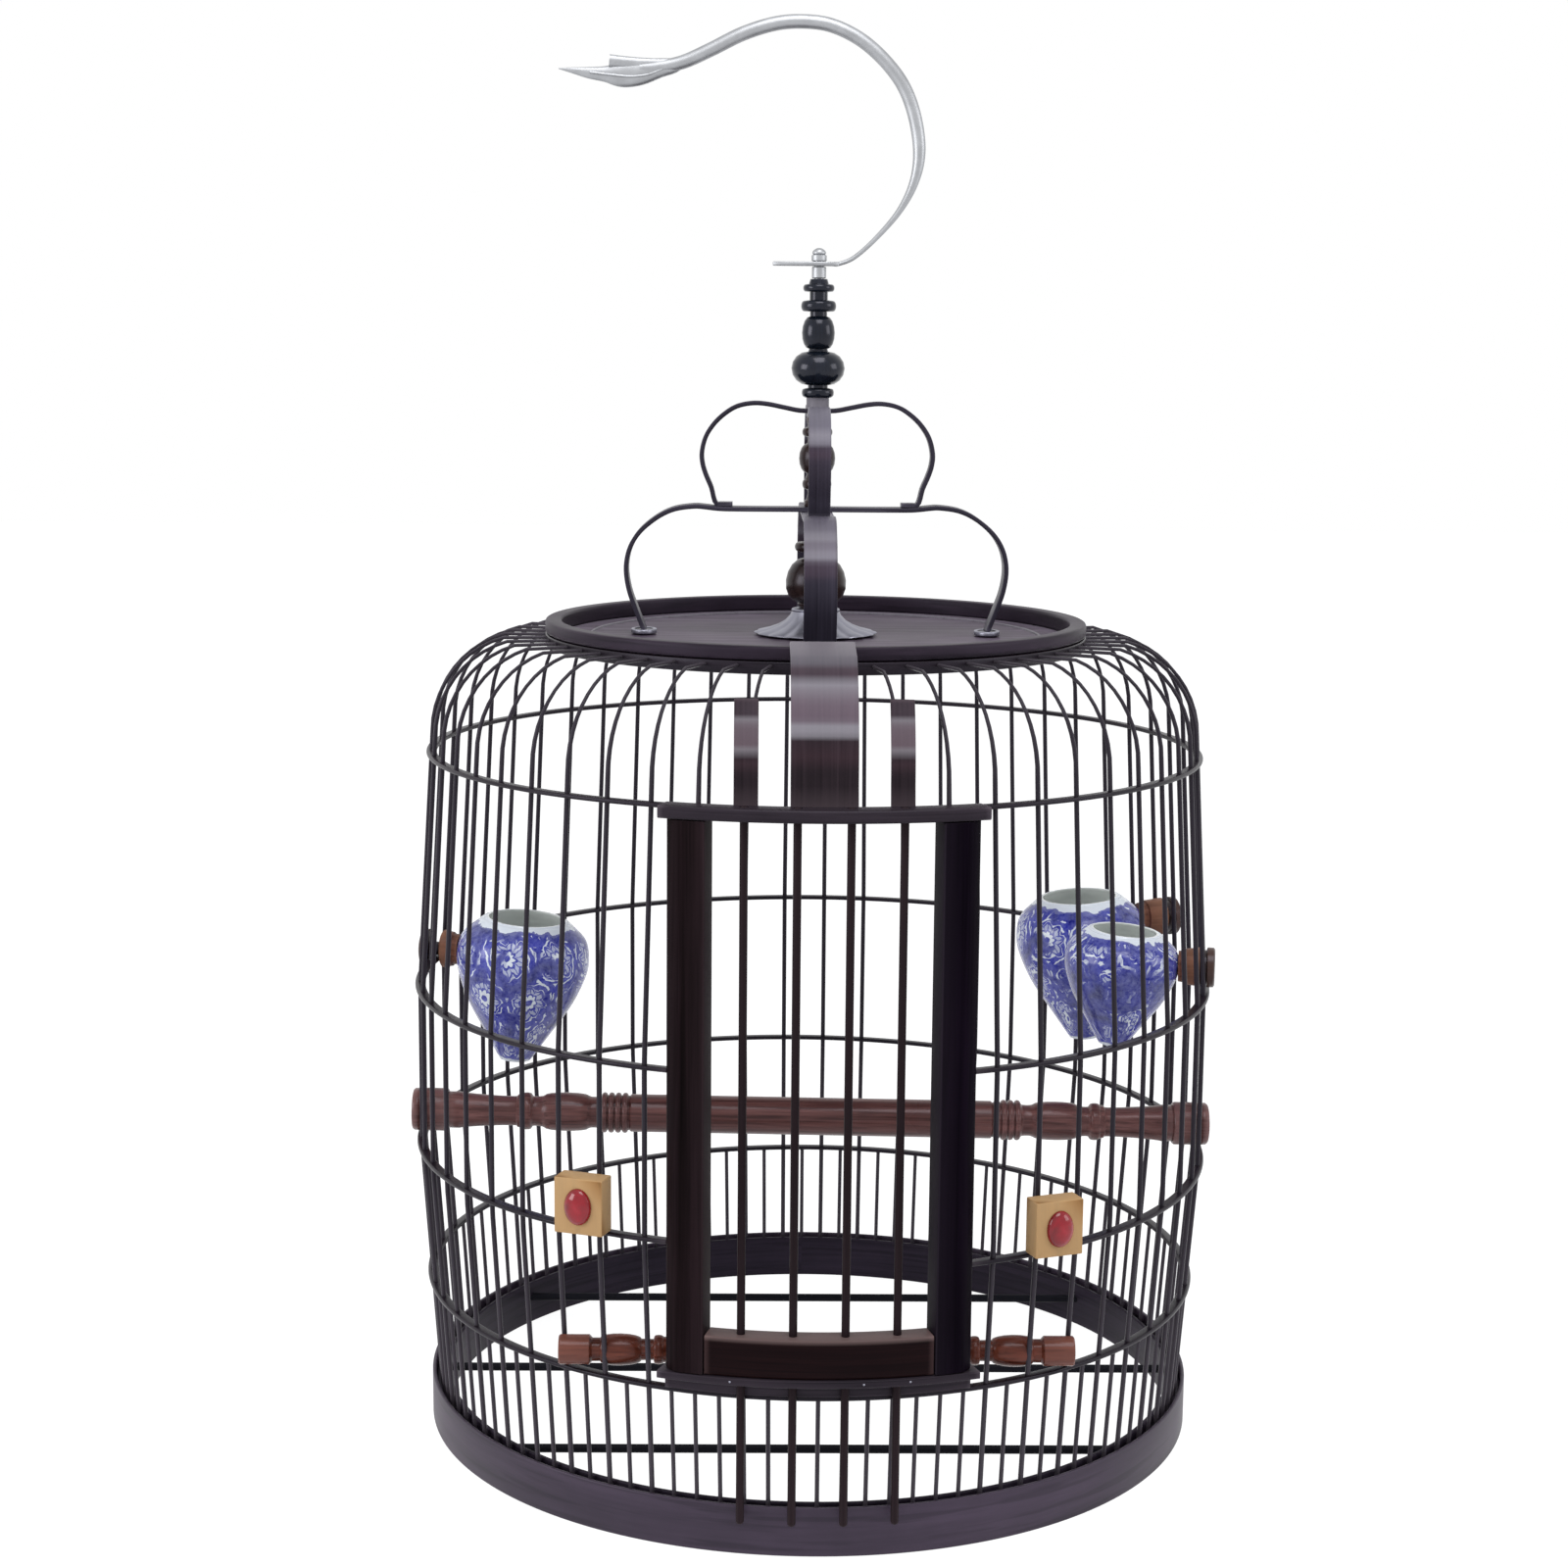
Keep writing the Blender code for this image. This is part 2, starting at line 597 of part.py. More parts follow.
def make_splint_cage():
    """The ring under the lid with the bent splints fixed in it, long ones and those over the door."""
    inner = LID_BOARD_RADIUS + GAP
    seat = LID_BOARD_LOW - GAP
    profile = [
        (LID_RADIUS, TOP_RING_TOP), (LID_RADIUS, TOP_RING_LOW), (TOP_RING_INNER_RADIUS, TOP_RING_LOW),
        (TOP_RING_INNER_RADIUS, seat), (inner, seat), (inner, TOP_RING_TOP),
    ]
    cage = turned("splint_cage", profile, LID_STEPS, "dark_wood", closed=True)
    cage.rotation_euler = (0.0, 0.0, HALF_TURN / LID_STEPS)
    foot = GROOVE_FLOOR_HEIGHT + GAP
    long_line = wall_line(foot, BEND_FOOT_HEIGHT)[:-1] + top_line()
    lines = lines_round(long_line, full_splint_angles())
    stand = SHOULDER_HOOP_HEIGHT + HOOP_THICKNESS / 2 + GAP
    short_line = [(line_radius(stand), stand)] + top_line()
    lines += lines_round(short_line, door_splint_angles())
    join_on(cage, rod_mesh("splints", lines, SPLINT_RADIUS, 0))


def picket_mesh():
    """Pickets between the splints under the lower hoop, and in the splints' places at the door."""
    line = wall_line(GROOVE_FLOOR_HEIGHT + GAP, LOWER_HOOP_HEIGHT)
    between = [k * PITCH for k in range(SPLINT_COUNT)]
    lines = lines_round(line, between + door_splint_angles())
    return rod_mesh("pickets", lines, PICKET_RADIUS, 0)


# Hoops

def middle_hoop_height(angle):
    """Height of the middle hoop at an angle: it falls evenly from the left post to the right."""
    share = (angle % FULL_TURN - HOOP_START_ANGLE) / (FULL_TURN - 2 * HOOP_START_ANGLE)
    return MIDDLE_HOOP_HEIGHT + MIDDLE_HOOP_DROP * (share - 0.5)


def hoop_holes(name, height_at):
    """Square mortises for the splints through a hoop."""
    bm = bmesh.new()
    reach = HOOP_THICKNESS / 2 + CUT_OVERRUN
    corner = (SPLINT_RADIUS + GAP) * math.sqrt(2)
    for angle in full_splint_angles():
        height = height_at(angle)
        place = round_place(angle, line_radius(height), height)
        turn = angle + HALF_TURN / MORTISE_SIDES
        add_prism(bm, place, corner, height - reach, height + reach, MORTISE_SIDES, turn)
    return plain_mesh(bm, name + "_mortises")


def hoop_edges(height):
    """Inner and outer corner radius of a hoop whose every flat run holds two splints."""
    flat = line_radius(height) * math.cos(PITCH / 2)
    return (flat - HOOP_WIDTH / 2) / math.cos(PITCH), (flat + HOOP_WIDTH / 2) / math.cos(PITCH)


def hoop_section(height):
    """The corners of a hoop's section at a height."""
    inner, outer = hoop_edges(height)
    return box_section(inner, outer, height - HOOP_THICKNESS / 2, height + HOOP_THICKNESS / 2)


def round_hoop(name, height):
    """A whole hoop, drilled for the splints, with its corners midway between them."""
    hoop = turned(name, hoop_section(height), HOOP_STEPS, "dark_wood", closed=True)
    hoop.rotation_euler = (0.0, 0.0, PITCH - HALF_TURN / 2)
    cut_away(hoop, hoop_holes(name, lambda angle: height))
    return hoop


def open_hoop(name, height, drop, height_at):
    """A drilled hoop whose ends butt against the door posts, the right end lower by a drop."""
    section = [(radius, level - drop / 2) for radius, level in hoop_section(height)]
    steps = HOOP_STEPS - SPLINTS_BESIDE_DOOR
    end = FULL_TURN - HOOP_START_ANGLE
    hoop = add_part(name, arc_mesh(name, section, HOOP_START_ANGLE, end, steps, drop), "dark_wood")
    cut_away(hoop, hoop_holes(name, height_at))
    return hoop


def make_hoops():
    """The four hoops of the wall, the lowest with the pickets fixed in it."""
    lower = round_hoop("lower_hoop", LOWER_HOOP_HEIGHT)
    join_on(lower, picket_mesh())
    open_hoop("middle_hoop", MIDDLE_HOOP_HEIGHT, MIDDLE_HOOP_DROP, middle_hoop_height)
    open_hoop("upper_hoop", UPPER_HOOP_HEIGHT, 0.0, lambda angle: UPPER_HOOP_HEIGHT)
    round_hoop("shoulder_hoop", SHOULDER_HOOP_HEIGHT)


# Base

def make_base():
    """The grooved base ring, the bent band round it and the three floor bars."""
    lip = BASE_RING_INNER_RADIUS + GROOVE_LIP_THICKNESS
    outer = BAND_INNER_RADIUS - GAP
    profile = [
        (lip, BASE_RING_HEIGHT), (lip, GROOVE_FLOOR_HEIGHT), (outer, GROOVE_FLOOR_HEIGHT),
        (outer, 0.0), (BASE_RING_INNER_RADIUS, 0.0), (BASE_RING_INNER_RADIUS, BASE_RING_HEIGHT),
    ]
    base = turned("base_ring", profile, BASE_STEPS, "band_wood", closed=True)
    ring("base_band", BAND_INNER_RADIUS, BAND_RADIUS, 0.0, BAND_HEIGHT, BASE_STEPS, "band_wood")
    sockets = bmesh.new()
    for name, depth in (
        ("floor_bar_front", -FLOOR_BAR_SPACING), ("floor_bar_middle", 0.0),
        ("floor_bar_back", FLOOR_BAR_SPACING),
    ):
        reach = math.sqrt(BASE_RING_INNER_RADIUS ** 2 - depth ** 2) + FLOOR_BAR_SOCKET - GAP
        line = [(-reach, depth, FLOOR_BAR_HEIGHT), (reach, depth, FLOOR_BAR_HEIGHT)]
        rod_curve(name, [line], FLOOR_BAR_RADIUS, 1, "black_wood")
        side = 2 * (FLOOR_BAR_RADIUS + GAP)
        add_box(sockets, (0.0, depth, FLOOR_BAR_HEIGHT), (2 * (reach + GAP), side, side))
    cut_away(base, plain_mesh(sockets, "floor_bar_sockets"))


# Lid

def make_lid():
    """The lid's board on the ledge of the ring below it, held down by the rim's lip."""
    inner = LID_RADIUS - LID_RIM_WIDTH
    lip = LID_BOARD_TOP + GAP
    profile = [
        (LID_RADIUS - LID_RIM_ROUND, LID_RIM_TOP), (LID_RADIUS, LID_RIM_TOP - LID_RIM_ROUND),
        (LID_RADIUS, LID_RIM_LOW), (LID_BOARD_RADIUS, LID_RIM_LOW), (LID_BOARD_RADIUS, lip),
        (inner, lip), (inner, LID_RIM_TOP),
    ]
    rim = turned("lid_rim", profile, LID_STEPS, "band_wood", closed=True)
    profile = [
        (0.0, LID_BOARD_TOP), (LID_BOARD_RADIUS, LID_BOARD_TOP), (LID_BOARD_RADIUS, LID_BOARD_LOW),
        (0.0, LID_BOARD_LOW),
    ]
    board = turned("lid_board", profile, LID_STEPS, "panel_wood")
    for piece in (rim, board):
        piece.rotation_euler = (0.0, 0.0, HALF_TURN / LID_STEPS)
    bm = bmesh.new()
    centre = Vector((0.0, 0.0, 0.0))
    low = LID_BOARD_LOW - CUT_OVERRUN
    add_prism(bm, centre, ROD_RADIUS + GAP, low, LID_BOARD_TOP + CUT_OVERRUN, ROD_STEPS)
    cut_away(board, plain_mesh(bm, "lid_board_bore"))


# Crown

def crown_line(shares, reach, foot, top, along_x):
    """The whole outline of a crown band, from its left or front foot to the other one."""
    half = [Vector((reach * out, 0.0, foot + (top - foot) * up)) for out, up in shares]
    line = [Vector((-point.x, 0.0, point.z)) for point in reversed(half)] + half[1:]
    if along_x:
        return line
    return [Vector((0.0, point.x, point.z)) for point in line]


def crown_band(name, shares, reach, foot, top, width, along_x, hole):
    """One cloud-shaped band, bored in the middle for the rod."""
    line = crown_line(shares, reach, foot, top, along_x)
    side = (0.0, 1.0, 0.0) if along_x else (1.0, 0.0, 0.0)
    piece = strip(name, line, width, side, BAND_STRIP_THICKNESS, "panel_wood")
    bm = bmesh.new()
    add_prism(bm, Vector((0, 0, 0)), hole, top - CUT_OVERRUN, top + CUT_OVERRUN, HOLE_SIDES)
    cut_away(piece, plain_mesh(bm, name + "_bore"))
    return piece


def foot_plates(name, along_x):
    """The two flat feet of a lower crown band, on the lid's board."""
    bm = bmesh.new()
    out = LOWER_CROWN_REACH * LOWER_CROWN_SHARES[-1][0]
    level = LID_BOARD_TOP + GAP + CROWN_FOOT_THICKNESS / 2
    size = (CROWN_FOOT_LENGTH, CROWN_FOOT_WIDTH, CROWN_FOOT_THICKNESS)
    for sign in (-1, 1):
        turn = Matrix.Rotation(0.0 if along_x else HALF_TURN / 2, 4, "Z")
        add_box(bm, turn @ Vector((sign * out, 0.0, level)), size, turn)
    return plain_mesh(bm, name + "_feet")


def make_crown():
    """Two tiers of crossed bands on foot plates, clamped between the turned pieces."""
    foot = LID_BOARD_TOP + GAP + CROWN_FOOT_THICKNESS
    bore = ROD_RADIUS + GAP
    for name, along_x, drop in (("side", True, 0.0), ("front", False, CROWN_STEP)):
        lower = crown_band(
            "lower_crown_" + name, LOWER_CROWN_SHARES, LOWER_CROWN_REACH, foot,
            LOWER_CROWN_TOP - drop, LOWER_CROWN_WIDTH, along_x, bore,
        )
        join_on(lower, foot_plates("lower_crown_" + name, along_x))
        crown_band(
            "upper_crown_" + name, UPPER_CROWN_SHARES, UPPER_CROWN_REACH,
            LOWER_CROWN_TOP + CROWN_STEP - drop, UPPER_CROWN_TOP - drop, UPPER_CROWN_WIDTH,
            along_x, bore,
        )


def turned_profile(shares, low, high, ball, bore):
    """A bored turned outline from shares of its height and of its ball radius."""
    rows = [(ball * out, low + (high - low) * up) for up, out in reversed(shares)]
    return rows + [(bore, low), (bore, high)]


def make_rod_pieces():
    """The rod with its collar, nut and rosette, and the turned pieces threaded on it."""
    bore = ROD_RADIUS + GAP
    rosette_low = LID_BOARD_TOP + GAP
    rosette_top = rosette_low + ROSETTE_HEIGHT
    plate = rosette_low + ROSETTE_PLATE_THICKNESS
    hub = ROSETTE_HUB_RADIUS
    profile = [
        (hub * ROSETTE_HUB_TOP_SHARE, rosette_top),
        (hub, rosette_top - ROSETTE_PLATE_THICKNESS / 2),
        (hub * ROSETTE_HUB_WAIST_SHARE, (plate + rosette_top) / 2),
        ((hub + ROSETTE_RADIUS) / 2, plate + GAP),
        (ROSETTE_RADIUS, plate - ROSETTE_PLATE_THICKNESS / 2), (ROSETTE_RADIUS, rosette_low),
        (bore, rosette_low), (bore, rosette_top),
    ]
    turned("rosette", profile, 2 * TURNED_STEPS, "steel", closed=True)
    half = BAND_STRIP_THICKNESS / 2
    lower_foot = rosette_top + GAP
    lower_top = LOWER_CROWN_TOP - CROWN_STEP - half - GAP
    profile = turned_profile(LOWER_SPINDLE_SHARES, lower_foot, lower_top, LOWER_SPINDLE_BALL, bore)
    turned("lower_spindle", profile, TURNED_STEPS, "spindle_wood", closed=True)
    upper_foot = LOWER_CROWN_TOP + half + GAP
    upper_top = UPPER_CROWN_TOP - CROWN_STEP - half - GAP
    profile = turned_profile(UPPER_SPINDLE_SHARES, upper_foot, upper_top, UPPER_SPINDLE_BALL, bore)
    turned("upper_spindle", profile, TURNED_STEPS, "spindle_wood", closed=True)
    profile = turned_profile(FINIAL_SHARES, FINIAL_FOOT, FINIAL_TOP, FINIAL_BALL, bore)
    turned("finial", profile, TURNED_STEPS, "black_wood", closed=True)
    nut_top = LID_BOARD_LOW - GAP
    nut_low = nut_top - NUT_THICKNESS
    ring("rod_nut", bore, NUT_RADIUS, nut_low, nut_top, NUT_SIDES, "steel")
    collar_low = FINIAL_TOP + GAP
    collar_top = collar_low + STUD_COLLAR_HEIGHT
    rod_top = HOOK_PLATE_LOW + HOOK_PLATE_THICKNESS + HOOK_NUT_HEIGHT / 2
    profile = [
        (0.0, rod_top), (ROD_RADIUS, rod_top), (ROD_RADIUS, collar_top),
        (STUD_COLLAR_RADIUS, collar_top), (STUD_COLLAR_RADIUS, collar_low),
        (ROD_RADIUS, collar_low), (ROD_RADIUS, nut_low), (0.0, nut_low),
    ]
    turned("centre_rod", profile, ROD_STEPS, "steel")
    nut_low = HOOK_PLATE_LOW + HOOK_PLATE_THICKNESS + GAP
    profile = [
        (HOOK_NUT_RADIUS * out, nut_low + HOOK_NUT_HEIGHT * up) for out, up in HOOK_NUT_SHARES
    ]
    profile += [(bore, nut_low), (bore, rod_top + GAP), (0.0, rod_top + GAP)]
    turned("hook_nut", profile, ROD_STEPS, "steel")


# Hook

def make_hook():
    """The forged hook: a flat foot with an eye, a tapering curved wire and a leaf tip."""
    base = HOOK_PLATE_LOW + HOOK_PLATE_THICKNESS / 2
    line = [
        (HOOK_SPAN * out, HOOK_RISE * up, taper) for out, up, taper in HOOK_SHARES
    ]
    points = smooth_points([Vector(row) for row in line], 2)
    rows = []
    for point in points:
        radius = HOOK_THIN_RADIUS + (HOOK_THICK_RADIUS - HOOK_THIN_RADIUS) * point.z
        rows.append((point.x, 0.0, base + point.y, radius / HOOK_THICK_RADIUS))
    wire = rod_mesh("hook_wire", [rows], HOOK_THICK_RADIUS, 1)
    plate = bmesh.new()
    length = HOOK_PLATE_TAIL + HOOK_PLATE_NOSE
    centre = ((HOOK_PLATE_NOSE - HOOK_PLATE_TAIL) / 2, 0.0, base)
    add_box(plate, centre, (length, HOOK_PLATE_WIDTH, HOOK_PLATE_THICKNESS))
    hook = add_part("hook", finish_mesh(plate, "hook"), "steel")
    leaf = bmesh.new()
    depth = HOOK_LEAF_THICKNESS / 2
    outline = [
        leaf.verts.new((HOOK_SPAN * out, -depth, base + HOOK_RISE * up))
        for out, up in HOOK_LEAF_SHARES
    ]
    face = leaf.faces.new(outline)
    raise_face(leaf, face, (0.0, 2 * depth, 0.0))
    join_on(hook, wire)
    join_on(hook, plain_mesh(leaf, "hook_leaf"))
    eye = bmesh.new()
    bore = ROD_RADIUS + HOOK_EYE_CLEARANCE + GAP
    add_prism(eye, Vector((0, 0, 0)), bore, base - CUT_OVERRUN, base + CUT_OVERRUN, EYE_SIDES)
    cut_away(hook, plain_mesh(eye, "hook_eye"))


# Door

def door_bar_places():
    """Where the four door bars stand."""
    angles = splint_angles(-1, 2)
    return [round_place(angle, DOOR_LINE_RADIUS, 0.0) for angle in angles]


def bar_holes(name, low, high):
    """Cutters for the door bars' holes."""
    bm = bmesh.new()
    radius = (DOOR_BAR_RADIUS + DOOR_BAR_CLEARANCE) / math.cos(HALF_TURN / HOLE_SIDES)
    for place in door_bar_places():
        add_prism(bm, place, radius, low - CUT_OVERRUN, high + CUT_OVERRUN, HOLE_SIDES)
    return plain_mesh(bm, name)


def post_mesh(name, sign):
    """A door post with its outer front edge chamfered away."""
    inner = DOOR_OPENING_HALF_ANGLE
    outer = POST_OUTER_ANGLE
    chamfer = outer - POST_CHAMFER_WIDTH / POST_OUTER_RADIUS
    low = POST_INNER_RADIUS
    high = POST_OUTER_RADIUS
    plan = [
        (inner, low), (inner, high), (chamfer, high), (outer, high - POST_CHAMFER_DEPTH),
        (outer, low),
    ]
    bm = bmesh.new()
    verts = [bm.verts.new(round_place(sign * angle, radius, POST_LOW)) for angle, radius in plan]
    raise_face(bm, bm.faces.new(verts), (0.0, 0.0, POST_TOP - POST_LOW))
    return finish_mesh(bm, name)


def make_door_frame():
    """Posts between a drilled head rail and a sill with a drilled ledge along its top."""
    for name, sign in (("door_post_left", -1), ("door_post_right", 1)):
        add_part(name, post_mesh(name, sign), "dark_wood")
    half_angle = POST_OUTER_ANGLE + HEAD_RAIL_OVERHANG
    section = box_section(HEAD_RAIL_INNER_RADIUS, FRAME_FRONT_RADIUS, HEAD_RAIL_LOW, HEAD_RAIL_TOP)
    mesh = arc_mesh("door_head_rail", section, -half_angle, half_angle, 2 * FRAME_STEPS)
    rail = add_part("door_head_rail", mesh, "dark_wood")
    cut_away(rail, bar_holes("head_rail_holes", HEAD_RAIL_LOW, HEAD_RAIL_TOP))
    back = SILL_FACE_RADIUS - SILL_WIDTH
    ledge = SILL_TOP - SILL_LEDGE_HEIGHT
    section = [
        (FRAME_FRONT_RADIUS, SILL_TOP), (FRAME_FRONT_RADIUS, ledge), (SILL_FACE_RADIUS, ledge),
        (SILL_FACE_RADIUS, SILL_LOW), (back, SILL_LOW), (back, SILL_TOP),
    ]
    mesh = arc_mesh("door_sill", section, -half_angle, half_angle, 2 * FRAME_STEPS)
    sill = add_part("door_sill", mesh, "dark_wood")
    cut_away(sill, bar_holes("sill_holes", ledge, SILL_TOP))


def make_door():
    """The lift-up door: a bottom board with four bars fixed through it."""
    low = SILL_TOP + GAP
    half_angle = DOOR_OPENING_HALF_ANGLE - DOOR_SIDE_CLEARANCE / DOOR_LINE_RADIUS
    depth = DOOR_BOARD_DEPTH / 2
    section = box_section(
        DOOR_LINE_RADIUS - depth, DOOR_LINE_RADIUS + depth, low, low + DOOR_BOARD_HEIGHT,
    )
    mesh = arc_mesh("door", section, -half_angle, half_angle, FRAME_STEPS)
    door = add_part("door", mesh, "dark_wood")
    lines = [
        [place + Vector((0.0, 0.0, DOOR_BAR_FOOT)), place + Vector((0.0, 0.0, DOOR_BAR_TOP))]
        for place in door_bar_places()
    ]
    join_on(door, rod_mesh("door_bars", lines, DOOR_BAR_RADIUS, 1))


# Panels above the door

def upright_line(across, pairs):
    """A line of radius and height pairs on the front of the cage, at one place across it."""
    return [Vector((across, -math.sqrt(out ** 2 - across ** 2), height)) for out, height in pairs]


def make_panels():
    """The wide panel from the lid's rim to the head rail, and the narrow one on each side."""
    half = PANEL_THICKNESS / 2
    foot = (HEAD_RAIL_INNER_RADIUS + half, HEAD_RAIL_TOP + GAP)
    near = SPLINT_RADIUS + GAP + half
    rim = (LID_RADIUS - WIDE_PANEL_LAP, LID_RIM_TOP + GAP + half)
    shares = [k / FRAME_STEPS for k in range(1, FRAME_STEPS + 1)]
    bend = [bend_point(BEND_ANGLE * share, near + WIDE_PANEL_RISE * share) for share in shares]
    side = (1.0, 0.0, 0.0)
    line = upright_line(0.0, [foot] + bend + [rim])
    strip("wide_panel", line, WIDE_PANEL_WIDTH, side, PANEL_THICKNESS, "panel_wood")
    bend = [bend_point(NARROW_PANEL_BEND * share, near + NARROW_PANEL_RISE) for share in shares]
    for label, number in (("left", -1), ("right", 2)):
        across = foot[0] * math.sin(splint_angles(number, number)[0])
        line = upright_line(across, [foot] + bend)
        name = "narrow_panel_" + label
        strip(name, line, NARROW_PANEL_WIDTH, side, PANEL_THICKNESS, "panel_wood")


# Perches

def perch_piece(name, shares, half_length, radius, centre, tilt):
    """A perch turned about its own length, then laid along X and tilted."""
    half = [(radius * thick, half_length * along) for along, thick in reversed(shares)]
    whole = half + [(thick, -along) for thick, along in reversed(half[:-1])]
    profile = [(0.0, half_length)] + whole + [(0.0, -half_length)]
    piece = turned(name, profile, PERCH_STEPS, "perch_wood")
    piece.matrix_world = (
        Matrix.Translation(centre) @ Matrix.Rotation(tilt, 4, "Y")
        @ Matrix.Rotation(HALF_TURN / 2, 4, "Y")
    )
    return piece


def splint_notches(name, angle, centre, radius):
    """Cutters for the splints that a perch's ends are pushed between."""
    bm = bmesh.new()
    low = centre.z - 2 * radius
    high = centre.z + 2 * radius
    lean = (line_radius(high) - line_radius(low)) / 2
    notch = (SPLINT_RADIUS + GAP + abs(lean)) / math.cos(HALF_TURN / HOLE_SIDES)
    for side in (-angle, angle):
        for beside in (side - PITCH / 2, side + PITCH / 2):
            place = round_place(beside, line_radius(centre.z), 0.0)
            add_prism(bm, place, notch, low, high, HOLE_SIDES)
    return plain_mesh(bm, name)


def make_perches():
    """The main perch across the middle hoop and the low one near the door."""
    angle = (SPLINT_COUNT // 4) * PITCH
    half = HOOP_THICKNESS / 2
    left = middle_hoop_height(-angle) + half
    right = middle_hoop_height(angle) + half
    reach = BELLY_LINE_RADIUS * math.sin(angle)
    tilt = math.atan2(left - right, 2 * reach)
    rise = (PERCH_END_RADIUS + GAP) / math.cos(tilt)
    centre = Vector((0.0, -BELLY_LINE_RADIUS * math.cos(angle), (left + right) / 2 + rise))
    half_length = reach + PERCH_END_OUTSIDE
    main = perch_piece("main_perch", PERCH_SHARES, half_length, PERCH_END_RADIUS, centre, tilt)
    cut_away(main, splint_notches("main_perch_notches", angle, centre, PERCH_END_RADIUS))
    angle = LOW_PERCH_GAP * PITCH
    height = LOWER_HOOP_HEIGHT + half + GAP + LOW_PERCH_LIFT + LOW_PERCH_RADIUS
    centre = Vector((0.0, -line_radius(height) * math.cos(angle), height))
    half_length = line_radius(height) * math.sin(angle) + LOW_PERCH_END_OUTSIDE
    low = perch_piece("low_perch", LOW_PERCH_SHARES, half_length, LOW_PERCH_RADIUS, centre, 0.0)
    cut_away(low, splint_notches("low_perch_notches", angle, centre, LOW_PERCH_RADIUS))


# Cups

def cup_side(radius, tall, foot, lean):
    """Level and reach pairs down the leaning side of a cup, from the holder's place on its axis."""
    rows = [(radius * out, foot + tall * up) for up, out in CUP_OUTLINE_SHARES]
    return [
        (level * math.cos(lean) - out * math.sin(lean), out * math.cos(lean) + level * math.sin(lean))
        for out, level in rows
    ]


def reach_at(rows, level):
    """The reach of a cup's side at a level, between its outline's corners."""
    for (low, near), (high, far) in zip(rows, rows[1:]):
        if low <= level <= high:
            return near + (far - near) * (level - low) / (high - low)
    return max(out for height, out in rows)


def cup_reach(rows, half):
    """The widest reach of a cup's side within half a height of the holder's place."""
    between = [out for level, out in rows if -half < level < half]
    return max(between + [reach_at(rows, -half), reach_at(rows, half)])


def cup_piece(name, radius, tall, foot, spot, turn, lean):
    """A porcelain cup with an even wall, open at the top, leaning about its holder's place."""
    outer = [(radius * out, foot + tall * up) for up, out in reversed(CUP_OUTLINE_SHARES)]
    floor = foot + tall * CUP_FLOOR_SHARE
    inner = [
        (radius * out - CUP_WALL, foot + tall * up)
        for up, out in CUP_OUTLINE_SHARES if up > 2 * CUP_FLOOR_SHARE
    ]
    piece = turned(name, outer + [(0.0, foot), (0.0, floor)] + inner, CUP_STEPS, "porcelain", True)
    piece.matrix_world = (
        Matrix.Translation(spot) @ Matrix.Rotation(turn, 4, "Z") @ Matrix.Rotation(lean, 4, "X")
        @ Matrix.Rotation(-HALF_TURN / 2, 4, "Z")
    )


def holder_piece(name, angle, height, inner_end):
    """A turned holder pushed between two splints, its neck over the hoop where it comes down to it."""
    splint = line_radius(height)
    if height - HOLDER_RADIUS < UPPER_HOOP_HEIGHT + HOOP_THICKNESS / 2:
        inner, outer = hoop_edges(UPPER_HOOP_HEIGHT)
        outer_face = outer + GAP
        inner_face = inner * math.cos(PITCH) - GAP
    else:
        outer_face = splint * math.cos(PITCH / 2) + SPLINT_RADIUS + GAP
        inner_face = splint * math.cos(PITCH / 2) - SPLINT_RADIUS - GAP
    end = outer_face + HOLDER_CAP_THICKNESS
    rounding = HOLDER_CAP_THICKNESS / 4
    profile = [
        (0.0, end), (HOLDER_RADIUS - rounding, end), (HOLDER_RADIUS, end - rounding),
        (HOLDER_RADIUS, outer_face), (HOLDER_NECK_RADIUS, outer_face),
        (HOLDER_NECK_RADIUS, inner_face), (HOLDER_RADIUS, inner_face),
        (HOLDER_RADIUS * HOLDER_TAPER, inner_end), (0.0, inner_end),
    ]
    piece = turned(name, profile, HOLDER_STEPS, "holder_wood")
    turn = Matrix.Rotation(angle, 4, "Z") @ Matrix.Rotation(HALF_TURN / 2, 4, "X")
    piece.matrix_world = Matrix.Translation((0.0, 0.0, height)) @ turn


def make_cups():
    """Three cups on their holders: one on the left and two on the right."""
    for label, gap_number, rise, inset, radius, tall, rim_rise, lean in CUPS:
        angle = gap_number * PITCH
        height = UPPER_HOOP_HEIGHT + rise
        out = line_radius(height) - inset
        foot = rim_rise - rise - tall
        spot = round_place(angle, out, height)
        cup_piece("cup_" + label, radius, tall, foot, spot, angle, lean)
        reach = cup_reach(cup_side(radius, tall, foot, lean), HOLDER_RADIUS * HOLDER_TAPER)
        holder_piece("cup_holder_" + label, angle, height, out + reach + GAP)


# Medallions

def stone_mesh(name):
    """Half of a round stone, flat underneath, one unit in radius."""
    bm = bmesh.new()
    bmesh.ops.create_uvsphere(bm, u_segments=STONE_STEPS, v_segments=STONE_RINGS, radius=1.0)
    lower = [vert for vert in bm.verts if vert.co.z < -MERGE_DISTANCE]
    bmesh.ops.delete(bm, geom=lower, context="VERTS")
    edge = [item for item in bm.edges if item.is_boundary]
    bmesh.ops.edgeloop_fill(bm, edges=edge)
    return finish_mesh(bm, name)


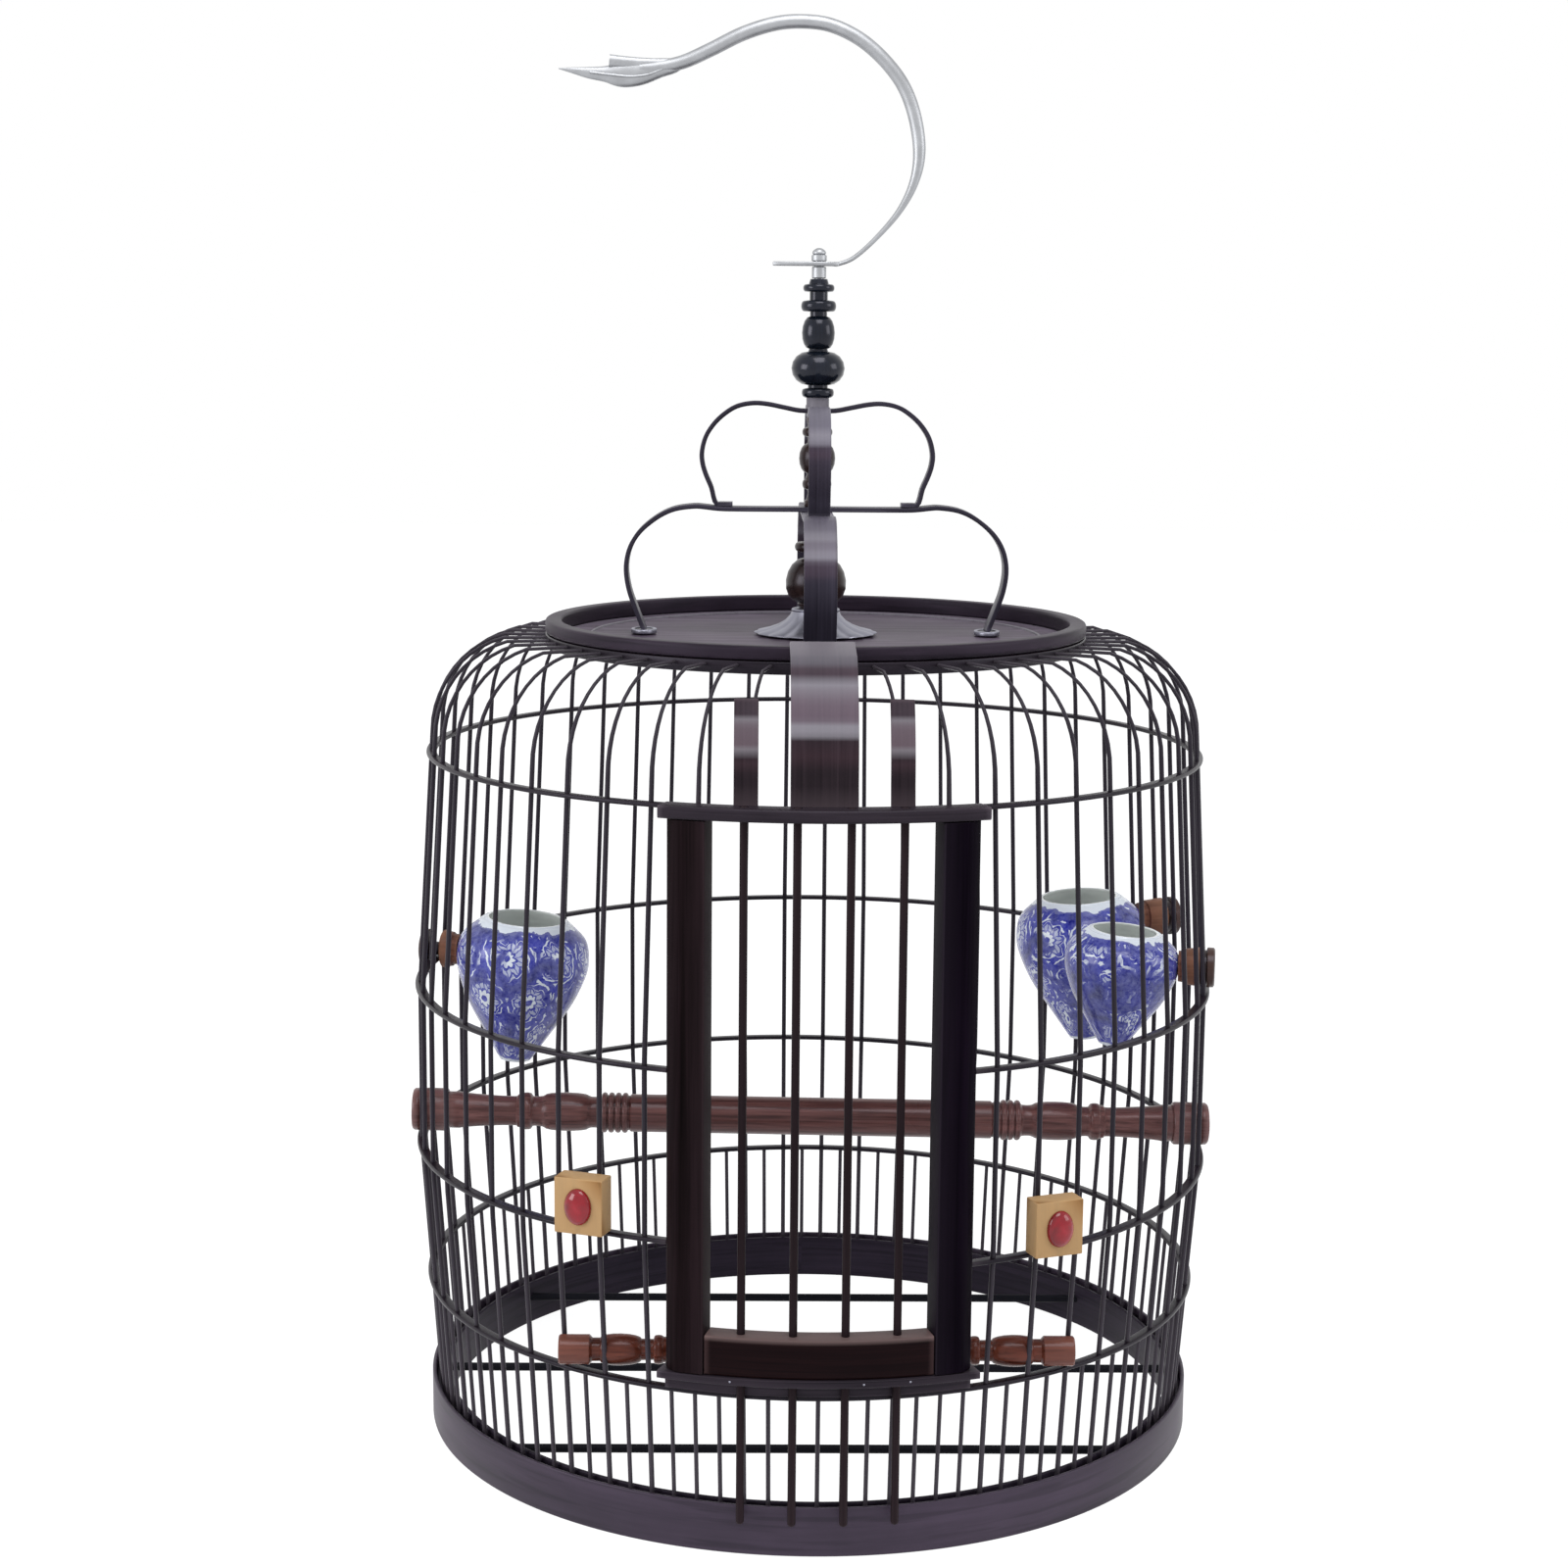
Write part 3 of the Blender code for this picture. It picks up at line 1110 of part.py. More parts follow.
def make_medallions():
    """A block with an oval stone on each side of the door, on the middle hoop against a splint."""
    half_angle = MEDALLION_WIDTH / 2 / BELLY_LINE_RADIUS
    for label, sign in (("left", -1), ("right", 1)):
        angle = sign * MEDALLION_ANGLE
        ends = (angle - half_angle, angle + half_angle)
        bottom = max(middle_hoop_height(end) for end in ends) + HOOP_THICKNESS / 2 + GAP
        turn = Matrix.Rotation(sign * MEDALLION_FACE_ANGLE, 4, "Z")
        aside = sign * BELLY_LINE_RADIUS * math.sin(MEDALLION_ANGLE - MEDALLION_FACE_ANGLE)
        splint = splint_angles(MEDALLION_SPLINT, MEDALLION_SPLINT)[0] - MEDALLION_FACE_ANGLE
        back = BELLY_LINE_RADIUS * math.cos(splint) + SPLINT_RADIUS + GAP
        level = bottom + MEDALLION_HEIGHT / 2
        bm = bmesh.new()
        centre = turn @ Vector((aside, -back - MEDALLION_DEPTH / 2, level))
        add_box(bm, centre, (MEDALLION_WIDTH, MEDALLION_DEPTH, MEDALLION_HEIGHT), turn)
        name = "medallion_block_" + label
        add_part(name, finish_mesh(bm, name), "tan_block")
        name = "medallion_stone_" + label
        stone = add_part(name, stone_mesh(name), "red_stone")
        place = Matrix.Translation(turn @ Vector((aside, -back - MEDALLION_DEPTH - GAP, level)))
        upright = Matrix.Rotation(HALF_TURN / 2, 4, "X")
        scale = Matrix.Diagonal((STONE_WIDTH / 2, STONE_HEIGHT / 2, STONE_RISE, 1.0))
        stone.data.transform(place @ turn @ upright @ scale)


def main():
    """Build the cage from the base up."""
    clear_scene()
    make_base()
    make_splint_cage()
    make_hoops()
    make_lid()
    make_crown()
    make_rod_pieces()
    make_hook()
    make_door_frame()
    make_door()
    make_panels()
    make_perches()
    make_cups()
    make_medallions()


main()
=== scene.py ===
"""Looks of the hanging bird cage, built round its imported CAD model.

Shapes are written in millimetres in the CAD's frame: +Z up, the door towards -Y, and angles
counted from the door, positive towards +X. Shape.make turns them into metres.
"""

import math
import random

import bmesh
import bpy
from mathutils import Matrix, Vector


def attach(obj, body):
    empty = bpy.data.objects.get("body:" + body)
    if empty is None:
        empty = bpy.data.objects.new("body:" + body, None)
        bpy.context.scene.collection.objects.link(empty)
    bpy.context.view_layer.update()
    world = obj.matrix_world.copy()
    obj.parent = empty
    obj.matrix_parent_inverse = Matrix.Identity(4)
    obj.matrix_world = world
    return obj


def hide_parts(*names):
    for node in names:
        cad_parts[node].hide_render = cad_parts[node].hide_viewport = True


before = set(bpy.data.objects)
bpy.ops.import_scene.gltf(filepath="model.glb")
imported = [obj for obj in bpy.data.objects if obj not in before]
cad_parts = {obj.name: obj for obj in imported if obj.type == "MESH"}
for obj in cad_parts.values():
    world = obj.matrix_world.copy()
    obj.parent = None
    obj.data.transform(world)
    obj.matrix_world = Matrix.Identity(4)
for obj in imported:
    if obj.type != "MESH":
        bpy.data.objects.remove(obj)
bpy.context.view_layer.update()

MM = 0.001
FULL = 2 * math.pi
QUARTER = math.pi / 2
SCENE = bpy.context.scene

# The cage's lines, the same as in the CAD
SPLINTS = 54
PITCH = FULL / SPLINTS
BESIDE_DOOR = 3
SPLINT_R = 1.05
PICKET_R = 0.9
GROOVE_Z = 15.3
RING_R = 159.0
WALL_R = 170.0
LOWER_Z, MIDDLE_Z, UPPER_Z, SHOULDER_Z = 64.8, 121.0, 193.0, 293.6
BEND_R = 41.0
BEND_CENTRE_R, BEND_Z = 122.5, 302.3
BEND_END = math.radians(75)
WALL = ((162.5, 15.0), (WALL_R, MIDDLE_Z), (WALL_R, UPPER_Z), (163.5, BEND_Z))
SPLINT_END_R = 112.0
HOOP_WIDTH, HOOP_HEIGHT = 4.4, 1.8
MIDDLE_DROP = 8.6
HOOP_START = BESIDE_DOOR * PITCH
POST_OUTER = HOOP_START - 0.3 / WALL_R
DOOR_HALF = math.radians(14.5)
RAIL_HALF = POST_OUTER + math.radians(0.5)
DOOR_R = 172.2
FRAME_R = 178.4
SILL_Z, RAIL_Z = 76.0, 291.0
FRAME_GAP = 0.3
LID_R = 115.5
LID_Z = 342.8
BORE_R = 2.3


def line_radius(z):
    """Radius of the splints' line at a height on the wall."""
    for (r0, z0), (r1, z1) in zip(WALL, WALL[1:]):
        if z <= z1:
            return r0 + (r1 - r0) * (z - z0) / (z1 - z0)
    return WALL[-1][0]


def place(angle, r, z):
    """The point at an angle from the door, a radius and a height."""
    return Vector((r * math.sin(angle), -r * math.cos(angle), z))


def tangent(angle):
    """The direction along the wall at an angle from the door."""
    return math.cos(angle), math.sin(angle), 0.0


def middle_z(angle):
    """Height of the sloping middle hoop at an angle."""
    share = (angle % FULL - HOOP_START) / (FULL - 2 * HOOP_START)
    return MIDDLE_Z + MIDDLE_DROP * (share - 0.5)


# Materials

# Radius and height in mm that the round grain and the ramps of the light bands count from
GRAIN_R = 165.0
SHEEN_TOP = 450.0


class Nodes:
    """The node tree of a material or the world, with short calls that add and link nodes."""

    def __init__(self, owner):
        owner.use_nodes = True
        self.owner = owner
        self.tree = owner.node_tree
        self.shader = self.tree.nodes.get("Principled BSDF")

    def put(self, item, inputs):
        """Fill inputs by name or number: a socket is linked, anything else is a constant."""
        for name, value in inputs.items():
            if isinstance(value, bpy.types.NodeSocket):
                self.tree.links.new(value, item.inputs[name])
            else:
                item.inputs[name].default_value = value

    def add(self, kind, inputs=None, **settings):
        """A new node with its settings and inputs."""
        item = self.tree.nodes.new("ShaderNode" + kind)
        for name, value in settings.items():
            setattr(item, name, value)
        self.put(item, inputs or {})
        return item

    def calc(self, operation, *values):
        """The result of one Math node."""
        return self.add("Math", dict(enumerate(values)), operation=operation).outputs[0]

    def times(self, first, second):
        """A product."""
        return self.calc("MULTIPLY", first, second)

    def most(self, *values):
        """The largest of some values."""
        first = values[0]
        for value in values[1:]:
            first = self.calc("MAXIMUM", first, value)
        return first

    def between(self, value, low, high):
        """1 where a value lies between two others."""
        return self.times(self.calc("LESS_THAN", value, high), self.calc("GREATER_THAN", value, low))

    def near(self, value, middle, reach):
        """1 where a value lies within reach of another."""
        return self.calc("LESS_THAN", self.calc("ABSOLUTE", self.calc("SUBTRACT", value, middle)), reach)

    def join(self, *values):
        """A vector from its parts."""
        return self.add("CombineXYZ", dict(enumerate(values))).outputs[0]

    def split(self, vector):
        """The parts of a vector."""
        return self.add("SeparateXYZ", {0: vector}).outputs

    def here(self):
        """The shaded point in the object's own space."""
        return self.add("TexCoord").outputs["Object"]

    def noise(self, vector, **inputs):
        """A noise texture at a vector."""
        return self.add("TexNoise", {"Vector": vector, **inputs})

    def ramp(self, value, *stops):
        """A colour ramp's colour, from places and their colours or grey levels."""
        item = self.add("ValToRGB", {"Fac": value})
        elements = item.color_ramp.elements
        while len(elements) < len(stops):
            elements.new(0.5)
        for element, (spot, colour) in zip(elements, stops):
            element.position = spot
            element.color = (colour, colour, colour, 1.0) if isinstance(colour, float) else (*colour, 1.0)
        return item.outputs["Color"]

    def mix(self, factor, first, second, blend="MIX"):
        """Two colours mixed."""
        inputs = {"Factor": factor, "A": first, "B": second}
        return self.add("Mix", inputs, data_type="RGBA", blend_type=blend).outputs["Result"]

    def spread(self, value, low, high, start=0.0, end=1.0):
        """A value between start and end carried over to low and high."""
        inputs = {"Value": value, "From Min": start, "From Max": end, "To Min": low, "To Max": high}
        return self.add("MapRange", inputs).outputs["Result"]

    def bump(self, height, strength, distance):
        """A normal raised by a height."""
        inputs = {"Height": height, "Strength": strength, "Distance": distance}
        return self.add("Bump", inputs).outputs["Normal"]

    def finish(self, **inputs):
        """Fill the shader's inputs, underscores standing for spaces, and return the material."""
        self.put(self.shader, {name.replace("_", " "): value for name, value in inputs.items()})
        return self.owner

    def blend_surface(self, share, first, second):
        """Make the surface a mix of two shaders."""
        mixed = self.add("MixShader", {0: share, 1: first, 2: second})
        output = next(node for node in self.tree.nodes if node.bl_idname.startswith("ShaderNodeOutput"))
        self.put(output, {"Surface": mixed.outputs[0]})


def grain_vector(nodes, mode):
    """Coordinates in metres whose Z runs along the grain."""
    if mode == "swept":
        return nodes.add("Attribute", attribute_name="grain").outputs["Vector"]
    source = nodes.here()
    if mode == "axis":
        return source
    x, y, z = nodes.split(source)
    if mode == "flat":
        return nodes.join(z, y, x)
    length = nodes.add("VectorMath", {0: nodes.join(x, y)}, operation="LENGTH").outputs["Value"]
    turn = nodes.calc("ARCTAN2", x, nodes.times(y, -1.0))
    return nodes.join(length, z, nodes.times(turn, GRAIN_R * MM))


def thousandths(values):
    """A colour from whole thousandths."""
    return tuple(value / 1000 for value in values)


def wood(name, colours, mode, rough=0.3, coat=0.0, level=0.14, fine=900.0, along=18.0, bump=0.00006,
         glow=()):
    """Lacquered wood: streaked grain, fine pores, edges rubbed lighter and an uneven gloss.

    Fine and along stretch the grain across and along it, level is how much it mirrors, and glow
    holds heights and the painted light that is added to the colour there.
    """
    dark, light, worn = (thousandths(colour) for colour in colours)
    middle = tuple((a + b) / 2 for a, b in zip(dark, light))
    nodes = Nodes(bpy.data.materials.new(name))
    vector = grain_vector(nodes, mode)
    inputs = {"Vector": vector, "Scale": (fine, fine, along)}
    stretch = nodes.add("Mapping", inputs, vector_type="POINT").outputs[0]
    streak = nodes.noise(stretch, Scale=0.35, Detail=6.0, Roughness=0.62, Distortion=0.4).outputs["Fac"]
    broad = nodes.noise(vector, Scale=28.0, Detail=3.0).outputs["Fac"]
    pores = nodes.noise(stretch, Scale=1.0, Detail=2.0, Roughness=0.5).outputs["Fac"]
    tone = nodes.ramp(streak, (0.30, dark), (0.55, middle), (0.78, light))
    tone = nodes.mix(1.0, tone, nodes.ramp(broad, (0.3, 0.72), (0.7, 1.0)), "MULTIPLY")
    tone = nodes.mix(0.6, tone, nodes.ramp(pores, (0.36, 0.45), (0.46, 1.0)), "MULTIPLY")
    edge = nodes.ramp(nodes.add("NewGeometry").outputs["Pointiness"], (0.535, 0.0), (0.60, 0.7))
    tone = nodes.mix(edge, tone, (*worn, 1.0))
    if glow:
        # Painted light added to the colour: bands across a bent strip, and on the door board's top face,
        # where they catch the light
        share = nodes.calc("DIVIDE", nodes.split(nodes.here())["Z"], SHEEN_TOP * MM)
        sheen = nodes.ramp(share, *[(z / SHEEN_TOP, thousandths(colour)) for z, *colour in glow])
        tone = nodes.mix(1.0, tone, sheen, "ADD")
    return nodes.finish(
        Base_Color=tone, Roughness=nodes.spread(broad, rough - 0.07, rough + 0.10),
        Normal=nodes.bump(streak, 0.5, bump), Specular_IOR_Level=level,
        Specular_Tint=(0.86, 0.84, 1.0, 1.0), Coat_Weight=coat, Coat_Roughness=0.16, Coat_IOR=1.35,
    )


def steel(name, colour, rough):
    """Polished steel with a cloudy tone and gloss."""
    nodes = Nodes(bpy.data.materials.new(name))
    clouds = nodes.noise(nodes.here(), Scale=160.0, Detail=5.0, Roughness=0.6).outputs["Fac"]
    shaded = tuple(0.82 * value for value in colour)
    return nodes.finish(
        Base_Color=nodes.ramp(clouds, (0.3, shaded), (0.7, colour)), Metallic=1.0,
        Roughness=nodes.spread(clouds, rough, rough + 0.14), Normal=nodes.bump(clouds, 0.3, 0.00005),
    )


def stone(name):
    """A polished red stone with cloudy depth."""
    nodes = Nodes(bpy.data.materials.new(name))
    clouds = nodes.noise(nodes.here(), Scale=240.0, Detail=4.0, Distortion=1.2).outputs["Fac"]
    deep, middle, light = (0.10, 0.001, 0.004), (0.29, 0.004, 0.014), (0.48, 0.025, 0.045)
    return nodes.finish(
        Base_Color=nodes.ramp(clouds, (0.3, deep), (0.55, middle), (0.75, light)), Roughness=0.16,
        Specular_IOR_Level=0.3, Coat_Weight=0.35, Coat_Roughness=0.04,
    )


def porcelain(name, radius, low, high, flowers, density):
    """White glaze with a cobalt pattern of round flowers, petals and scrolls, brushed a little unevenly."""
    nodes = Nodes(bpy.data.materials.new(name))
    calc, times = nodes.calc, nodes.times
    source = nodes.here()
    wobble = nodes.noise(source, Scale=130.0, Detail=3.0)
    inputs = {0: wobble.outputs["Color"], 1: (0.5, 0.5, 0.5)}
    centred = nodes.add("VectorMath", inputs, operation="SUBTRACT")
    small = nodes.add("VectorMath", {0: centred.outputs[0], "Scale": 0.0060}, operation="SCALE")
    brushed = nodes.add("VectorMath", {0: source, 1: small.outputs[0]}, operation="ADD").outputs[0]
    x, y, z = nodes.split(brushed)
    turn = calc("ARCTAN2", x, times(y, -1.0))
    # Cells round the cup and up it, every other row moved by half a cell
    squeeze = 0.86
    up = calc("DIVIDE", calc("SUBTRACT", z, low), FULL * radius / flowers * squeeze)
    shift = times(calc("MODULO", calc("FLOOR", up), 2.0), 0.5)
    across = calc("ADD", calc("DIVIDE", turn, FULL / flowers), shift)
    local_x = calc("SUBTRACT", calc("FRACT", calc("ADD", across, 64.0)), 0.5)
    local_y = times(calc("SUBTRACT", calc("FRACT", up), 0.5), squeeze)
    squares = [times(value, value) for value in (local_x, local_y)]
    reach = calc("SQRT", calc("ADD", *squares))
    bearing = calc("ARCTAN2", local_y, local_x)
    # A flower of eight petals in each cell: two outlines, a heart and veins
    lobes = calc("ABSOLUTE", calc("COSINE", times(bearing, 4.0)))
    petal = calc("ADD", 0.25, times(lobes, 0.10))
    outline = nodes.near(reach, petal, 0.026)
    second = nodes.near(reach, times(petal, 0.55), 0.024)
    heart = calc("LESS_THAN", reach, 0.065)
    rays = calc("LESS_THAN", calc("ABSOLUTE", calc("SINE", times(bearing, 8.0))), 0.30)
    veins = times(rays, nodes.between(reach, 0.17, petal))
    # Scrolls and leaves in the ground between the flowers
    winding = calc("ADD", times(reach, 44.0), times(bearing, 3.0))
    scroll = calc("GREATER_THAN", calc("SINE", winding), 1.0 - 2.0 * density)
    inputs = {"Vector": brushed, "Scale": 210.0, "Randomness": 0.9}
    leaves = nodes.add("TexVoronoi", inputs, feature="F1").outputs["Distance"]
    leaf = calc("LESS_THAN", leaves, 0.30 + 0.16 * density)
    outside = calc("GREATER_THAN", reach, calc("ADD", petal, 0.04))
    ground = times(calc("MAXIMUM", scroll, leaf), outside)
    ink = nodes.most(outline, second, heart, veins, ground)
    # A wash of thinner blue inside the petals, and blots
    shade = nodes.noise(source, Scale=420.0, Detail=4.0, Roughness=0.7).outputs["Fac"]
    blots = nodes.noise(brushed, Scale=56.0, Detail=4.0, Distortion=0.8).outputs["Fac"]
    wash = times(nodes.between(reach, times(petal, 0.62), petal), 0.42)
    ink = nodes.most(ink, wash, nodes.ramp(blots, (0.44, 0.0), (0.50, 0.97)))
    cover = times(ink, nodes.spread(shade, 0.84, 1.0, 0.30, 0.70))
    # The pattern stops under the rim and over the foot, with a line at each end
    cover = times(cover, nodes.between(z, low, high))
    lines = calc("MAXIMUM", nodes.near(z, high, 0.0006), nodes.near(z, low, 0.0007))
    cover = calc("MAXIMUM", cover, times(lines, 0.8))
    mask = nodes.add("Attribute", attribute_name="outside").outputs["Fac"]
    cover = times(cover, mask)
    depth = calc("ADD", times(blots, 0.7), times(shade, 0.3))
    pale, middle, deep = (0.020, 0.028, 0.40), (0.010, 0.014, 0.28), (0.003, 0.005, 0.13)
    blue = nodes.ramp(depth, (0.38, pale), (0.50, middle), (0.64, deep))
    white = nodes.mix(mask, (0.92, 0.95, 0.93, 1.0), (0.68, 0.73, 0.80, 1.0))
    return nodes.finish(
        Base_Color=nodes.mix(cover, white, blue), Normal=nodes.bump(wobble.outputs["Fac"], 0.25, 0.0001),
        Roughness=0.20, Specular_IOR_Level=0.2, Coat_Weight=0.3, Coat_Roughness=0.05,
    )


# Colours in thousandths of linear light: the dark of the grain, its light and the rubbed edge
DARK = ((6, 4, 7), (22, 15, 22), (55, 42, 50))
SPLINT = ((9, 7, 11), (32, 26, 36), (70, 60, 72))
BAND = ((32, 22, 36), (74, 52, 82), (120, 98, 120))
RING = ((16, 12, 20), (38, 28, 45), (80, 64, 80))
RIM = ((18, 12, 20), (40, 28, 43), (90, 70, 92))
# The lid board's colours are painted much lighter than the rim's, standing in for the light its upward face
# reflects: painted reflection.
LID_LIT_BOARD = ((46, 32, 50), (165, 130, 178), (220, 190, 235))
STRIP = ((22, 19, 29), (62, 55, 80), (90, 82, 110))
# The neck's colours are the crown strip's lacquer with painted light added, as at the top of the crown
# bands; the lid bead takes them as a painted highlight.
LIT_NECK = ((95, 85, 104), (170, 156, 184), (240, 226, 256))
PANEL = ((13, 9, 11), (38, 26, 32), (80, 60, 68))
# The posts are one wood in two copies: the left one painted lighter as lit, the right one darker with
# painted shade. The door bars take the lit copy's colours.
LIT_POST = ((5, 3, 3), (22, 12, 15), (60, 40, 46))
SHADED_POST = ((2, 1, 3), (8, 4, 10), (46, 36, 50))
LEDGE = ((14, 10, 14), (50, 38, 50), (110, 90, 108))
DOOR = ((4, 1, 1), (15, 5, 5), (90, 52, 52))
BLACK = ((3, 5, 9), (8, 12, 22), (24, 30, 46))
BAR = ((3, 3, 4), (8, 8, 11), (20, 20, 26))
SPINDLE = ((10, 6, 6), (40, 20, 16), (100, 50, 34))
PERCH = ((52, 18, 16), (225, 100, 92), (310, 180, 175))
TURNED = ((66, 15, 8), (215, 60, 36), (300, 125, 95))
HOLDER = ((100, 36, 20), (260, 105, 62), (360, 180, 110))
TAN = ((215, 82, 17), (365, 168, 44), (560, 370, 190))
# Painted light bands on the bent strips and on the door board's top face: height in mm, then the red, green
# and blue that are added
WIDE_SHEEN = (
    (309.0, 0, 0, 0), (314.0, 14, 6, 8), (320.6, 4, 2, 3), (322.0, 185, 178, 200),
    (325.6, 190, 182, 205), (327.2, 88, 66, 84), (333.0, 92, 70, 88), (337.0, 135, 120, 140),
    (340.6, 205, 200, 225), (341.4, 30, 20, 28), (345.0, 40, 30, 38), (346.2, 80, 76, 90),
    (350.5, 115, 112, 128),
)
SIDE_SHEEN = (
    (307.0, 0, 0, 0), (311.0, 16, 8, 10), (314.2, 4, 2, 3), (315.2, 150, 140, 155),
    (316.6, 140, 128, 142), (318.2, 88, 66, 78), (325.0, 88, 68, 80), (326.2, 160, 150, 165),
    (327.4, 110, 100, 112), (328.4, 12, 7, 10),
)
# Painted light: the door board's top face made lighter where it catches the light
DOOR_SHEEN = ((90.7, 0, 0, 0), (91.5, 120, 85, 82))
CROWN_SHEEN = (
    (372.0, 0, 0, 0), (375.0, 22, 12, 15), (379.4, 22, 12, 15), (381.0, 150, 142, 158),
    (383.4, 140, 130, 145), (386.0, 90, 78, 92), (389.2, 170, 162, 178), (391.5, 95, 88, 102),
    (395.5, 70, 64, 78), (396.5, 0, 0, 0), (418.0, 4, 1, 1), (421.0, 22, 10, 12), (424.2, 12, 6, 8),
    (425.6, 125, 118, 134), (430.0, 160, 152, 168), (431.2, 100, 94, 112), (439.0, 115, 110, 128),
)

MATERIALS = {
    "splint": wood("splint_lacquer", SPLINT, "swept", rough=0.34, level=0.16, along=9.0),
    "hoop": wood("hoop_lacquer", DARK, "round", rough=0.32, level=0.2),
    "band": wood("band_lacquer", BAND, "round", rough=0.45, level=0.3, fine=300.0, bump=0.00002),
    "ring": wood("ring_lacquer", RING, "round", rough=0.45, level=0.1, fine=500.0, bump=0.00004),
    "rim": wood("rim_lacquer", RIM, "round", rough=0.42, level=0.12, fine=500.0, bump=0.00006),
    "lid": wood("lid_board_lit_lacquer", LID_LIT_BOARD, "flat", rough=0.44, level=0.08, fine=520.0, along=40.0, bump=0.00012),
    "panel": wood("panel_lacquer", PANEL, "swept", rough=0.38, level=0.08, glow=WIDE_SHEEN),
    "side": wood("side_lacquer", PANEL, "swept", rough=0.38, level=0.08, glow=SIDE_SHEEN),
    "crown": wood("crown_lacquer", STRIP, "swept", rough=0.34, level=0.10, glow=CROWN_SHEEN),
    "strip": wood("strip_lacquer", STRIP, "swept", rough=0.34, level=0.10),
    "neck": wood("neck_lit_lacquer", LIT_NECK, "axis", rough=0.36, level=0.10),
    "post_left": wood("post_left_lit_lacquer", LIT_POST, "axis", rough=0.50, level=0.02),
    "post_right": wood("post_right_shaded_lacquer", SHADED_POST, "axis", rough=0.50, level=0.02),
    "ledge": wood("ledge_lacquer", LEDGE, "round", rough=0.36, level=0.12),
    "door": wood("door_lacquer", DOOR, "round", rough=0.32, level=0.06, glow=DOOR_SHEEN),
    "door_bar": wood("door_bar_lacquer", LIT_POST, "swept", rough=0.34, level=0.05, along=9.0),
    "black": wood("black_lacquer", BLACK, "axis", rough=0.18, coat=0.25, level=0.25),
    "bar": wood("bar_lacquer", BAR, "swept", rough=0.40, level=0.03),
    "spindle": wood("spindle_wood", SPINDLE, "axis", rough=0.26, level=0.25),
    "perch": wood("perch_wood", PERCH, "axis", rough=0.28, coat=0.3, level=0.16, along=30.0),
    "turned": wood("turned_wood", TURNED, "axis", rough=0.24, coat=0.3, level=0.12, along=60.0),
    "holder": wood("holder_wood", HOLDER, "axis", rough=0.38, level=0.15, along=60.0),
    "tan": wood("tan_block", TAN, "axis", rough=0.50, level=0.06, fine=420.0, along=60.0),
    "steel": steel("polished_steel", (0.42, 0.43, 0.45), 0.40),
    "pewter": steel("silvered_wood", (0.31, 0.31, 0.37), 0.36),
    "stone": stone("red_stone"),
}


# Shapes

TURN_STEPS = 8
BEVEL_ANGLE = math.radians(40)
TINY = 1e-6


def round_section(width, height, radius, steps=3):
    """A rectangle with rounded corners, as pairs about its centre."""
    rows = []
    for corner, (sx, sy) in enumerate(((1, 1), (-1, 1), (-1, -1), (1, -1))):
        for k in range(steps + 1):
            turn = QUARTER * (corner + k / steps)
            rows.append((
                sx * (width / 2 - radius) + radius * math.cos(turn),
                sy * (height / 2 - radius) + radius * math.sin(turn),
            ))
    return rows


def circle_section(radius, sides=10):
    """A round section."""
    turns = [FULL * k / sides for k in range(sides)]
    return [(radius * math.cos(turn), radius * math.sin(turn)) for turn in turns]


def fillet(points, radius, steps=3):
    """A closed polyline of pairs with each corner turned into a small arc; a radius of 0 keeps it.

    Radius and steps are one number each, or a tuple with one for each corner. An arc takes up less
    than half of the shorter side.
    """
    most = 0.45
    rows = []
    count = len(points)
    for i, point in enumerate(points):
        here = Vector(point)
        size = radius[i] if isinstance(radius, tuple) else radius
        parts = steps[i] if isinstance(steps, tuple) else steps
        if not size:
            rows.append(tuple(here))
            continue
        before = Vector(points[i - 1]) - here
        after = Vector(points[(i + 1) % count]) - here
        cut = min(size, before.length * most, after.length * most)
        a = here + before.normalized() * cut
        b = here + after.normalized() * cut
        for k in range(parts + 1):
            t = k / parts
            rows.append(tuple(a * (1 - t) ** 2 + here * 2 * t * (1 - t) + b * t * t))
    return rows


def stepped(radii, heights, radius, steps=3):
    """A section with square steps and eased corners, from its radii and heights in turn."""
    corners = []
    for i, r in enumerate(radii):
        corners += [(r, heights[i]), (r, heights[(i + 1) % len(heights)])]
    return fillet(corners, radius, steps)


def turned_line(start, parts):
    """Radius and height pairs from (height, radius) and parts of (height, radius, bulge)."""
    z0, r0 = start
    rows = [(r0, z0)]
    for z1, r1, bulge in parts:
        count = TURN_STEPS if bulge else 1
        for k in range(1, count + 1):
            turn = math.pi * k / count
            t = (1 - math.cos(turn)) / 2 if bulge else 1.0
            rows.append((r0 + (r1 - r0) * t + bulge * math.sin(turn), z0 + (z1 - z0) * t))
        z0, r0 = z1, r1
    return rows


def capped(line, radius=0.0):
    """A turned line closed at the axis, or at the radius of a bore."""
    return [(radius, line[0][1])] + line + [(radius, line[-1][1])]


def smooth_line(points, steps):
    """Points on a Catmull-Rom curve through the given ones."""
    rows = [Vector(point) for point in points]
    rows = [2 * rows[0] - rows[1]] + rows + [2 * rows[-1] - rows[-2]]
    result = []
    for i in range(1, len(rows) - 2):
        a, b, c, d = rows[i - 1:i + 3]
        for k in range(steps):
            t = k / steps
            result.append(0.5 * (2 * b + (c - a) * t + (2 * a - 5 * b + 4 * c - d) * t * t
                                 + (3 * b - a - 3 * c + d) * t * t * t))
    result.append(rows[-2])
    return result


